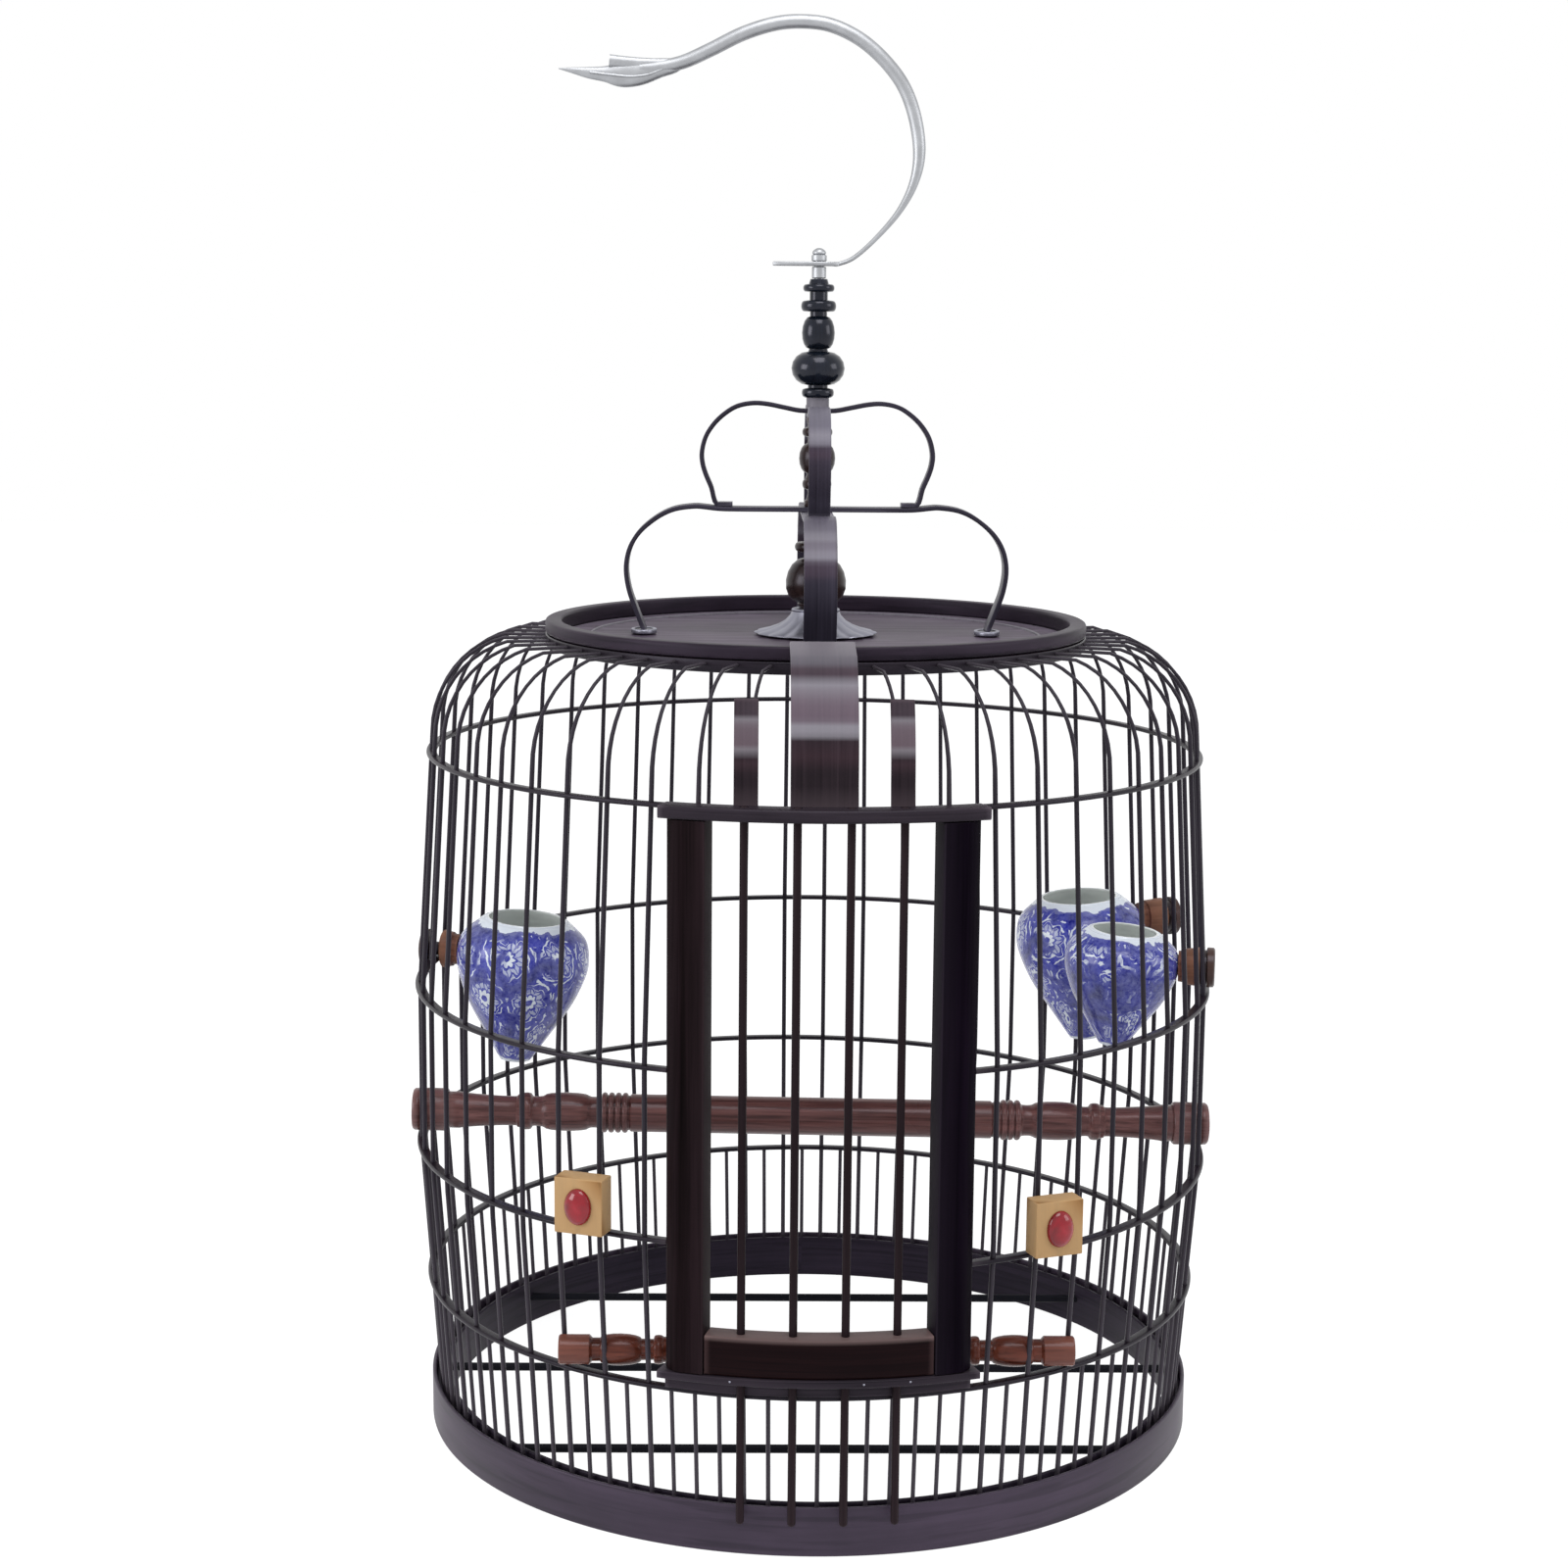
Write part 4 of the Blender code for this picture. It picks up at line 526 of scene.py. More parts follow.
class Shape:
    """Closed shells in millimetres, made into one piece."""

    def __init__(self):
        self.verts = []
        self.faces = []
        self.grain = []

    def join(self, rings, pairs, sides):
        """Add rings of points, with faces between the rings of each pair on so many of their sides."""
        base = len(self.verts)
        count = len(rings[0])
        for ring in rings:
            self.verts.extend(ring)
        for i, j in pairs:
            for k in range(sides):
                m = (k + 1) % count
                corners = (i * count + k, i * count + m, j * count + m, j * count + k)
                self.faces.append(tuple(base + corner for corner in corners))
        return base

    def rows(self, rings, closed=False):
        """Rings of points, each of the same length, joined in a row that is closed or capped."""
        count = len(rings[0])
        last = len(rings) - 1
        pairs = [(i, i + 1) for i in range(last)] + ([(last, 0)] if closed else [])
        base = self.join(rings, pairs, count)
        if not closed:
            self.faces.append(tuple(base + k for k in reversed(range(count))))
            self.faces.append(tuple(base + last * count + k for k in range(count)))
        return self

    def sweep(self, path, side, section, scales=None):
        """A section swept along a path that lies in the plane square to side."""
        side = Vector(side).normalized()
        rings = []
        along = 0.0
        for i, point in enumerate(path):
            ahead = path[min(i + 1, len(path) - 1)] - path[max(i - 1, 0)]
            normal = ahead.normalized().cross(side).normalized()
            wide, thick = scales[i] if scales else (1.0, 1.0)
            along += (point - path[i - 1]).length if i else 0.0
            rings.append([point + side * (a * wide) + normal * (b * thick) for a, b in section])
            self.grain.extend((a * MM, b * MM, along * MM) for a, b in section)
        return self.rows(rings)

    def around(self, section, radius=0.0, height=0.0, start=0.0, end=FULL, steps=180):
        """A section carried round the axis; radius and height are numbers or rules of the angle."""
        whole = end - start > FULL - TINY
        rings = []
        for i in range(steps + (0 if whole else 1)):
            angle = start + (end - start) * (i + (0.5 if whole else 0.0)) / steps
            r = radius(angle) if callable(radius) else radius
            z = height(angle) if callable(height) else height
            rings.append([place(angle, r + dr, z + dz) for dr, dz in section])
        return self.rows(rings, closed=whole)

    def spin(self, profile, steps=48, warp=None):
        """A turned shell: the profile is a closed loop, or runs from the axis to the axis."""
        solid = profile[0][0] < TINY
        body = profile[1:-1] if solid else profile
        rings = []
        for i in range(steps):
            angle = FULL * i / steps
            pairs = [warp(angle, r, z) for r, z in body] if warp else body
            rings.append([place(angle, r, z) for r, z in pairs])
        count = len(body)
        turns = [(i, (i + 1) % steps) for i in range(steps)]
        base = self.join(rings, turns, count - 1 if solid else count)
        if solid:
            for end, k in ((profile[0], 0), (profile[-1], count - 1)):
                pole = len(self.verts)
                self.verts.append(Vector((0.0, 0.0, end[1])))
                self.faces.extend((base + i * count + k, base + j * count + k, pole) for i, j in turns)
        return self

    def prism(self, plan, low, high):
        """A plan of points raised from one height to another."""
        return self.rows([[Vector((x, y, z)) for x, y in plan] for z in (low, high)])

    def make(self, name, kind, node, body="cage", spot=None, bevel=0.0, sharp=38.0, material=None):
        """Turn the shells into one piece that rides on a body and stands for a node of the CAD."""
        mesh = bpy.data.meshes.new(name)
        mesh.from_pydata([Vector(vert) * MM for vert in self.verts], [], self.faces)
        if len(self.grain) == len(self.verts):
            grain = mesh.attributes.new("grain", "FLOAT_VECTOR", "POINT")
            grain.data.foreach_set("vector", [value for row in self.grain for value in row])
        bm = bmesh.new()
        bm.from_mesh(mesh)
        bmesh.ops.recalc_face_normals(bm, faces=bm.faces)
        if bevel:
            bm.normal_update()
            edges = [edge for edge in bm.edges if edge.calc_face_angle(0.0) > BEVEL_ANGLE]
            bmesh.ops.bevel(
                bm, geom=edges, offset=bevel * MM, segments=3, profile=0.5, affect="EDGES",
                clamp_overlap=True,
            )
        bm.to_mesh(mesh)
        bm.free()
        mesh.shade_smooth()
        mesh.set_sharp_from_angle(angle=math.radians(sharp))
        mesh.materials.append(material or MATERIALS[kind])
        piece = bpy.data.objects.new(name, mesh)
        SCENE.collection.objects.link(piece)
        if spot is not None:
            piece.matrix_world = spot
        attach(piece, body)
        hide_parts(node)
        return piece

    def looks(self, node, kind, **more):
        """Make the piece that is named after its node."""
        return self.make(node + "_looks", kind, node, **more)


def at(x, y, z):
    """A move in millimetres."""
    return Matrix.Translation(Vector((x, y, z)) * MM)


def turn_about(axis, angle):
    """A turn about X, Y or Z."""
    return Matrix.Rotation(angle, 4, axis)


# Base

def make_base():
    """The bent band, the grooved ring inside it and the floor bars."""
    band = stepped((166.8, 165.2), (20.0, 0.0), 0.6)
    Shape().around(band, steps=216).looks("base_band", "band")
    ring = stepped((160.8, 164.9, RING_R), (19.5, 15.0, 0.0), 0.6)
    Shape().around(ring, steps=216).looks("base_ring", "ring")
    bar_z, bar_r, spacing, socket = 12.3, 1.8, 91.0, 1.7
    for label, y in (("front", -spacing), ("middle", 0.0), ("back", spacing)):
        reach = math.sqrt(RING_R ** 2 - y * y) + socket
        path = [Vector((x, y, bar_z)) for x in (-reach, 0.0, reach)]
        Shape().sweep(path, (0, 1, 0), circle_section(bar_r, 16)).looks("floor_bar_" + label, "bar")


# Splints and hoops

def bend_pairs(last, steps, rise=0.0, more=0.0):
    """Radius and height pairs over the shoulder up to a turn, lifted by rise and later by more."""
    rows = []
    for k in range(steps + 1):
        turn = last * k / steps
        reach = BEND_R + rise + more * k / steps
        rows.append((BEND_CENTRE_R + reach * math.cos(turn), BEND_Z + reach * math.sin(turn)))
    return rows


def wall_pairs(low):
    """Radius and height pairs on the wall below the bend, its knees eased."""
    heights = [low]
    for knee in (MIDDLE_Z, UPPER_Z):
        heights += [knee + step for step in (-9.0, -3.0, 3.0, 9.0) if low < knee + step < BEND_Z]
    return [(line_radius(z), z) for z in heights]


def make_splints():
    """Round splints up the wall and over the shoulder, and the ring that holds them."""
    splints = Shape()
    section = circle_section(SPLINT_R, 10)
    top = bend_pairs(BEND_END, 10) + [(SPLINT_END_R, 341.9)]
    sway_top, sway = 200.0, 0.25
    thin_from, thin_length, thinning = 296.0, 36.0, 0.3
    random.seed(7)
    for k in range(SPLINTS):
        number = (k + SPLINTS // 2) % SPLINTS - SPLINTS // 2
        angle = (number + 0.5) * PITCH
        at_door = -BESIDE_DOOR <= number < BESIDE_DOOR
        low = SHOULDER_Z + 1.2 if at_door else GROOVE_Z
        own_sway = 0.0 if at_door else random.uniform(-sway, sway) / WALL_R
        path = []
        scales = []
        for r, z in wall_pairs(low) + top:
            lean = own_sway * math.sin(math.pi * min(1.0, z / sway_top)) if z < sway_top else 0.0
            path.append(place(angle + lean, r, z))
            scales.append((1.0 - thinning * min(1.0, max(0.0, z - thin_from) / thin_length),) * 2)
        splints.sweep(path, tangent(angle), section, scales)
    splints.make("splints", "splint", "splint_cage")
    ring = stepped((LID_R, 100.0, 110.5), (343.6, 338.5, 340.2), 0.6)
    Shape().around(ring, steps=144).make("lid_ring", "hoop", "splint_cage")


def make_hoops():
    """The four hoops and the pickets under the lowest."""
    section = round_section(HOOP_WIDTH, HOOP_HEIGHT, 0.7)

    def hoop(label, radius, height, *span):
        shape = Shape().around(section, radius, height, *span)
        shape.make("hoop_" + label, "hoop", label + "_hoop")

    whole = (0.0, FULL, 216)
    open_front = (HOOP_START, FULL - HOOP_START, 192)
    hoop("lower", line_radius(LOWER_Z), LOWER_Z, *whole)
    pickets = Shape()
    thin = circle_section(PICKET_R, 8)
    numbers = [float(k) for k in range(SPLINTS)] + [k + 0.5 for k in range(-BESIDE_DOOR, BESIDE_DOOR)]
    for number in numbers:
        angle = number * PITCH
        path = [place(angle, line_radius(z), z) for z in (GROOVE_Z, 38.0, LOWER_Z)]
        pickets.sweep(path, tangent(angle), thin)
    pickets.make("pickets", "splint", "lower_hoop")
    hoop("middle", lambda angle: line_radius(middle_z(angle)), middle_z, *open_front)
    hoop("upper", line_radius(UPPER_Z), UPPER_Z, *open_front)
    hoop("shoulder", line_radius(SHOULDER_Z), SHOULDER_Z, *whole)


# Lid and crown

def make_lid():
    """The lid's rim and its board with a raised ring."""
    rim = stepped((LID_R, 110.2, 108.5), (349.5, 343.9, LID_Z), 1.4, 4)
    Shape().around(rim).looks("lid_rim", "rim")
    profile = [
        (0.0, 342.3), (94.0, 342.3), (94.6, 342.5), (97.6, 342.5), (98.2, 342.3), (100.4, 342.3),
        (101.0, 342.5), (110.1, 342.5), (110.1, 340.5), (0.0, 340.5),
    ]
    # The board takes the lid lacquer, whose light colour is painted reflection
    Shape().spin(profile, 144).looks("lid_board", "lid")
    # The bead takes the light neck lacquer as a painted highlight
    Shape().around(circle_section(0.8, 8), 96.2, 342.5, steps=144).make("lid_bead", "neck", "lid_board")


# Shares of a crown band's reach and rise, from its top to its foot
LOWER_SHARES = (
    (0.000, 1.000), (0.420, 1.000), (0.520, 1.004), (0.590, 1.016), (0.645, 1.020), (0.742, 0.998),
    (0.825, 0.940), (0.908, 0.840), (0.960, 0.738), (0.990, 0.625), (1.000, 0.490),
    (0.985, 0.330), (0.950, 0.170), (0.908, 0.000),
)
UPPER_SHARES = (
    (0.000, 1.000), (0.150, 1.000), (0.293, 1.033), (0.430, 1.066), (0.550, 1.076),
    (0.673, 1.050), (0.770, 0.990), (0.878, 0.875), (0.960, 0.726), (0.996, 0.560),
    (0.990, 0.430), (0.960, 0.310), (0.915, 0.180), (0.866, 0.000), (0.730, 0.000),
)


def crown_path(shares, reach, foot, top, along_x):
    """The outline of a crown band from one foot to the other."""
    half = [Vector((reach * out, 0.0, foot + (top - foot) * up)) for out, up in shares]
    whole = [Vector((-point.x, 0.0, point.z)) for point in reversed(half)] + half[1:]
    line = [Vector((point.x, 0.0, max(point.z, foot))) for point in smooth_line(whole, 4)]
    if along_x:
        return line
    return [Vector((0.0, point.x, point.z)) for point in line]


CROWN_THICK = 1.9
# Tier, outline, reach, height of the foot, height of the top and width
CROWN_TIERS = (
    ("lower", LOWER_SHARES, 81.0, 344.8, 396.2, 13.4),
    ("upper", UPPER_SHARES, 49.1, 398.1, 437.8, 9.2),
)


def make_crown():
    """Two tiers of crossed bands with their feet, the front ones under the side ones."""
    for label, along_x, drop in (("side", True, 0.0), ("front", False, CROWN_THICK)):
        side = (0, 1, 0) if along_x else (1, 0, 0)
        # The front bands take the lacquer with painted light bands, the side bands the plain one
        kind = "strip" if along_x else "crown"
        for tier, shares, reach, foot, top, width in CROWN_TIERS:
            foot_z = foot if tier == "lower" else foot - drop
            path = crown_path(shares, reach, foot_z, top - drop, along_x)
            band = Shape().sweep(path, side, round_section(width, CROWN_THICK, 0.6))
            band.make("crown_" + tier + "_" + label, kind, tier + "_crown_" + label)
        node = "lower_crown_" + label
        across = CROWN_TIERS[0][2] * LOWER_SHARES[-1][0]
        for sign, end in ((-1, "_a"), (1, "_b")):
            spot = Matrix.Identity(4) if along_x else turn_about("Z", QUARTER)
            spot = spot @ at(sign * across, 0.0, 0.0) @ Matrix.Diagonal((1.0, 1.4, 1.0, 1.0))
            name = "crown_foot_" + label + end
            foot = Shape().spin(stepped((5.5, 3.9), (CROWN_TIERS[0][3], LID_Z), 0.5), 40)
            foot.make(name, "pewter", node, spot=spot)
            plate = Shape().spin([(0.0, 344.4), (3.6, 344.4), (3.8, 344.2), (3.8, LID_Z), (0.0, LID_Z)], 32)
            plate.make(name + "_plate", "strip", node, spot=spot)


def make_rod_pieces():
    """Everything on the centre line."""
    def bored(start, parts):
        return Shape().spin(capped(turned_line(start, parts), BORE_R))

    def petals(angle, r, z):
        disc_r, length, lobes = 9.0, 14.0, 8
        if r < disc_r:
            return r, z
        share = min(1.0, (r - disc_r) / length)
        lobe = abs(math.cos(lobes * angle))
        return r * (1.0 - share * 0.07 * (1.0 - lobe)), z + share * 0.35 * lobe

    rosette = [
        (BORE_R, LID_Z), (25.9, LID_Z), (26.4, 343.2), (26.0, 343.6), (21.0, 344.9), (16.5, 346.6),
        (13.0, 348.7), (10.9, 351.0), (10.2, 352.6), (10.4, 353.2), (10.0, 353.8), (9.2, 354.0),
        (BORE_R, 354.0),
    ]
    Shape().spin(rosette, 128, petals).looks("rosette", "pewter")
    bored((354.3, 7.0), (
        (356.5, 7.4, 0.5), (375.4, 5.4, 6.5), (377.8, 4.8, -0.4), (378.2, 7.6, 0), (382.2, 7.6, 1.6),
        (382.6, 4.6, 0), (390.5, 4.4, -0.4), (391.0, 5.4, 0), (393.2, 5.4, 0.6),
    )).looks("lower_spindle", "spindle")
    bored((397.3, 5.0), (
        (400.0, 5.0, 0.4), (404.5, 4.2, -0.6), (404.9, 5.2, 0), (408.8, 5.2, 1.0), (411.4, 4.2, 0),
        (424.0, 4.2, 3.5), (426.6, 4.0, 0), (427.0, 5.2, 0), (430.6, 5.2, 1.2), (431.0, 4.0, 0),
        (434.8, 4.8, 0),
    )).looks("upper_spindle", "spindle")
    # The finial's neck takes the neck lacquer, lightened with painted light
    bored((438.9, 4.8), ((443.3, 4.8, 0),)).make("finial_neck", "neck", "finial")
    bored((443.3, 5.7), (
        (443.6, 6.0, 0), (447.0, 6.0, 0.8), (447.4, 4.2, 0), (448.4, 4.2, 0),
        (462.6, 4.2, 7.1), (463.6, 3.9, 0), (477.2, 3.6, 3.2), (479.0, 3.6, 0), (479.2, 6.2, 0),
        (483.6, 6.2, 1.2), (484.0, 3.8, 0), (487.2, 3.8, 0), (487.4, 5.6, 0), (490.4, 5.6, 1.0),
        (490.6, 4.2, 0), (492.6, 3.6, 0),
    )).looks("finial", "black")
    rod = [
        (0.0, 503.6), (1.7, 503.6), (2.0, 503.3), (2.0, 497.7), (2.7, 497.7), (3.0, 497.4), (3.0, 493.2),
        (2.7, 492.9), (2.0, 492.9), (2.0, 337.0), (1.7, 336.7), (0.0, 336.7),
    ]
    Shape().spin(rod, 32).looks("centre_rod", "steel")
    nut = [
        (0.0, 505.5), (0.9, 505.4), (1.7, 505.0), (2.6, 504.3), (2.9, 503.6), (2.9, 503.2), (2.5, 502.8),
        (3.2, 502.4), (3.2, 500.3), (2.9, 500.0), (0.0, 500.0),
    ]
    Shape().spin(nut, 32).looks("hook_nut", "steel")


# Hook

# Shares of the hook's span and rise, and of the wire's growth in radius
HOOK_SHARES = (
    (0.12, 0.000, 0.00), (0.20, 0.001, 0.00), (0.36, 0.030, 0.02), (0.58, 0.113, 0.08),
    (0.80, 0.222, 0.26), (0.94, 0.338, 0.62), (0.99, 0.461, 1.00), (0.945, 0.600, 1.12),
    (0.83, 0.728, 1.14), (0.64, 0.833, 1.15), (0.39, 0.921, 1.18), (0.10, 0.977, 1.19),
    (-0.18, 0.992, 1.20), (-0.46, 0.982, 1.20), (-0.78, 0.940, 1.20), (-1.10, 0.874, 1.18),
    (-1.38, 0.822, 1.14), (-1.64, 0.800, 1.05), (-1.80, 0.795, 0.80),
)
HOOK_SPAN, HOOK_RISE, HOOK_BASE = 41.8, 99.5, 498.9
HOOK_THIN, HOOK_GROWTH = 0.9, 1.72


def make_hook():
    """The forged hook: its foot with the eye, the tapering rod and the leaf at its tip."""
    def piece(label, shape, **more):
        shape.make("hook_" + label, "steel", "hook", body="hook", **more)

    def tip_line(rows, y, steps):
        return smooth_line([Vector((x, y, z)) for x, z in rows], steps)

    side = (0, 1, 0)
    thick = 2.7
    rows = smooth_line([Vector(row) for row in HOOK_SHARES], 8)
    path = [Vector((HOOK_SPAN * row.x, 0.0, HOOK_BASE + HOOK_RISE * row.y)) for row in rows]
    scales = [((HOOK_THIN + HOOK_GROWTH * row.z) / thick,) * 2 for row in rows]
    piece("wire", Shape().sweep(path, side, circle_section(thick, 20), scales))
    half = [(-19.5, -2.2), (-16.0, -3.4), (-6.0, -4.0), (5.0, -4.0), (8.3, -2.6)]
    outline = half + [(x, -y) for x, y in reversed(half)]
    piece("foot", Shape().prism(outline, 498.05, 499.75), bevel=0.4)
    oval = circle_section(1.0, 16)
    # Place along the leaf, height, half width and half height
    rows = smooth_line([Vector(row) for row in (
        (-55.0, 581.6, 1.2, 1.4), (-60.0, 579.4, 2.0, 2.9), (-66.0, 578.4, 2.4, 3.9),
        (-72.0, 577.0, 2.3, 5.0), (-77.0, 576.0, 2.2, 5.3), (-82.0, 575.5, 2.0, 5.2),
        (-86.0, 575.4, 1.9, 4.4), (-90.0, 575.6, 1.7, 3.2), (-97.0, 576.1, 1.3, 2.3),
        (-103.5, 577.0, 0.8, 1.2), (-109.0, 577.7, 0.2, 0.25),
    )], 3)
    rings = [[Vector((x, wide * a, z + high * b)) for a, b in oval] for x, z, wide, high in rows]
    piece("leaf", Shape().rows(rings), sharp=60.0)
    rows = (-66.0, 577.6), (-72.0, 575.4), (-79.0, 574.6), (-87.0, 575.2), (-96.0, 576.2)
    line = tip_line(rows, -2.0, 4)
    piece("ridge", Shape().sweep(line, side, circle_section(0.5, 8)))
    rows = (-60.0, 580.6), (-68.0, 580.2), (-75.0, 580.2), (-82.0, 580.5), (-87.9, 580.9)
    line = tip_line(rows, 0.0, 5)
    last = len(line) - 1
    scales = [(1.8 + 0.4 * k / last, 1.7 + 1.0 * k / last) for k in range(last + 1)]
    piece("curl", Shape().sweep(line, side, round_section(2.0, 2.0, 0.8), scales), sharp=50.0)


# Door

def door_bar_spots():
    """Angles of the door's four bars."""
    return [(number + 0.5) * PITCH for number in (-2, -1, 0, 1)]


def bore_holes(piece, radius, low, high):
    """Drill the four holes of the door's bars in a piece."""
    drill = Shape()
    for angle in door_bar_spots():
        spot = place(angle, DOOR_R, 0.0)
        drill.prism([(spot.x + x, spot.y + y) for x, y in circle_section(radius, 20)], low, high)
    mesh = bpy.data.meshes.new("drill")
    mesh.from_pydata([vert * MM for vert in drill.verts], [], drill.faces)
    tool = bpy.data.objects.new("drill", mesh)
    SCENE.collection.objects.link(tool)
    cut = piece.modifiers.new("holes", "BOOLEAN")
    cut.operation = "DIFFERENCE"
    cut.solver = "EXACT"
    cut.object = tool
    view = bpy.context.evaluated_depsgraph_get()
    view.update()
    bored = bpy.data.meshes.new_from_object(piece.evaluated_get(view))
    piece.modifiers.clear()
    piece.data = bored
    bpy.data.objects.remove(tool, do_unlink=True)


def make_door_frame():
    """Posts with a rounded outer edge, the head rail and the sill with its drilled ledge and pins."""
    low, high = 166.3, 178.1
    corner = POST_OUTER - 5.2 / high
    plan = (
        (DOOR_HALF, low), (DOOR_HALF, high), (corner, high), (POST_OUTER, high - 4.2), (POST_OUTER, low),
    )
    for label, sign in (("left", -1), ("right", 1)):
        points = [place(sign * angle, r, 0.0).xy for angle, r in plan]
        eased = fillet(points, (0.0, 0.7, 2.6, 2.6, 0.7), (1, 3, 5, 5, 3))
        post = Shape().prism(eased, SILL_Z + FRAME_GAP, RAIL_Z - FRAME_GAP)
        # The left post takes the lit copy of the post lacquer, the right post the copy with painted shade
        post.make("post_" + label, "post_" + label, "door_post_" + label, bevel=0.35)
    hole_r = 1.9
    section = stepped((FRAME_R, 167.8), (296.0, RAIL_Z), 1.2, 4)
    rail = Shape().around(section, 0.0, 0.0, -RAIL_HALF, RAIL_HALF, 48)
    bore_holes(rail.make("head_rail", "ledge", "door_head_rail"), hole_r, 285.0, 300.0)
    section = stepped((FRAME_R, 169.8, 164.2), (SILL_Z, 73.0, 66.0), 0.7, 4)
    sill = Shape().around(section, 0.0, 0.0, -RAIL_HALF, RAIL_HALF, 48)
    bore_holes(sill.make("sill", "ledge", "door_sill"), hole_r, 70.0, 80.0)
    for number, (degrees, level) in enumerate(((5.5, 74.6), (11.3, 74.8), (-11.0, 74.6))):
        pin = Shape().spin([(0.0, 0.28), (0.25, 0.22), (0.42, 0.05), (0.42, -0.6), (0.0, -0.6)], 12)
        spot = turn_about("Z", math.radians(degrees)) @ at(0.0, -FRAME_R, level) @ turn_about("X", QUARTER)
        pin.make("sill_pin_" + str(number), "pewter", "door_sill", spot=spot)


def make_door():
    """The door's board and its four bars."""
    clearance, bar_r = 0.5, 1.6
    half = DOOR_HALF - clearance / DOOR_R
    section = stepped((177.2, 167.2), (91.8, SILL_Z + FRAME_GAP), 0.7)
    board = Shape().around(section, 0.0, 0.0, -half, half, 41)
    board.make("door_board", "door", "door", body="door")
    bars = Shape()
    # Height and share of the bar's radius
    ends = ((15.0, 0.5), (15.4, 0.85), (16.2, 1.0), (150.0, 1.0), (295.0, 1.0), (295.9, 0.85), (296.2, 0.6))
    for angle in door_bar_spots():
        path = [place(angle, DOOR_R, z) for z, share in ends]
        scales = [(share, share) for z, share in ends]
        bars.sweep(path, tangent(angle), circle_section(bar_r, 14), scales)
    bars.make("door_bars", "door_bar", "door", body="door")


def make_panels():
    """The wide panel over the door and the narrow one at each side, all set square to the front."""
    foot_r, foot_z = 168.6, 295.7
    thick, ease = 1.6, 0.5

    def panel(name, across, pairs, width, kind):
        rows = [(foot_r, foot_z)] + pairs
        path = [Vector((across, -math.sqrt(r * r - across * across), z)) for r, z in rows]
        Shape().sweep(path, (1.0, 0.0, 0.0), round_section(width, thick, ease)).looks(name, kind)

    wide = bend_pairs(BEND_END, 24, 2.15, 4.2)[1:] + [(111.5, 350.6)]
    panel("wide_panel", 0.0, wide, 25.4, "panel")
    narrow = bend_pairs(math.radians(45), 24, 3.15)[1:]
    for label, sign in (("left", -1), ("right", 1)):
        panel("narrow_panel_" + label, sign * foot_r * math.sin(1.5 * PITCH), narrow, 9.2, "side")


# Perches

def double(half, parts):
    """A whole turned outline, the same at both ends, from its left half."""
    line = turned_line(half, parts)
    return capped(line + [(r, -z) for r, z in reversed(line)])


def make_perches():
    """The main perch and the low one."""
    angle = 13 * PITCH
    left = middle_z(-angle) + HOOP_HEIGHT / 2
    right = middle_z(angle) + HOOP_HEIGHT / 2
    reach = WALL_R * math.sin(angle)
    tilt = math.atan2(left - right, 2 * reach)
    # From the hoop's top to the perch's axis, and from the wall to the end of the cap
    lift, overhang = 9.8, 4.0
    centre = at(0.0, -WALL_R * math.cos(angle), (left + right) / 2 + lift / math.cos(tilt))
    spot = centre @ (turn_about("Y", tilt) @ turn_about("Y", QUARTER))
    end = -(reach + overhang)
    body = Shape().spin(double((-159.0, 7.6), (
        (-158.6, 7.9, 0), (-153.6, 8.0, 0), (-128.6, 6.5, -0.5), (-128.2, 7.1, 0), (-126.4, 7.4, 0),
        (-122.2, 7.4, 0.7), (-121.6, 6.6, 0), (-117.0, 6.9, -0.3), (-116.4, 7.2, 0), (-97.4, 7.2, 1.2),
        (-96.8, 7.0, 0), (-92.2, 7.0, -0.3), (-91.6, 7.6, 0), (-89.0, 7.6, 1.2), (-88.6, 7.6, 0),
        (-86.0, 7.6, 1.2), (-85.6, 7.6, 0), (-83.0, 7.6, 1.2), (-82.6, 7.6, 0), (-80.0, 7.6, 1.2),
        (-79.4, 7.5, 0), (-78.6, 8.2, 0), (-40.0, 8.2, 0),
    )), 48)
    body.looks("main_perch", "perch", spot=spot)
    for label, sign in (("left", 1), ("right", -1)):
        line = turned_line((sign * end, 8.6), (
            (sign * (end + 0.8), 9.2, 0), (sign * (end + 3.2), 9.2, 0), (sign * (end + 3.8), 8.8, 0),
            (sign * (end + 4.4), 9.3, 0), (sign * -159.3, 9.3, 0), (sign * -158.5, 8.7, 0),
        ))
        cap = Shape().spin(capped(line), 48)
        cap.make("main_perch_cap_" + label, "perch", "main_perch", spot=spot)
    level, overhang = 73.8, 10.0
    angle = 5 * PITCH
    ring_r = line_radius(level)
    end = -(ring_r * math.sin(angle) + overhang)
    rows = (
        (0.6, 5.9, 0), (12.0, 5.9, 0), (12.6, 5.3, 0), (13.2, 4.6, 0), (16.2, 4.6, 0), (32.6, 4.2, 1.8),
        (37.2, 4.1, 0), (37.6, 5.2, 0), (41.0, 5.2, 0.5), (41.4, 5.0, 0),
    )
    half = tuple((end + z, r, bulge) for z, r, bulge in rows) + ((-10.0, 5.4, 0),)
    spot = at(0.0, -ring_r * math.cos(angle), level) @ turn_about("Y", QUARTER)
    Shape().spin(double((end, 5.4), half), 48).looks("low_perch", "turned", spot=spot)


# Cups

# Shares of a cup's height and radius
CUP_OUTLINE = (
    (0.000, 0.24), (0.200, 0.51), (0.420, 0.80), (0.620, 0.97), (0.742, 1.00), (0.862, 0.94),
    (0.945, 0.76), (1.000, 0.62),
)
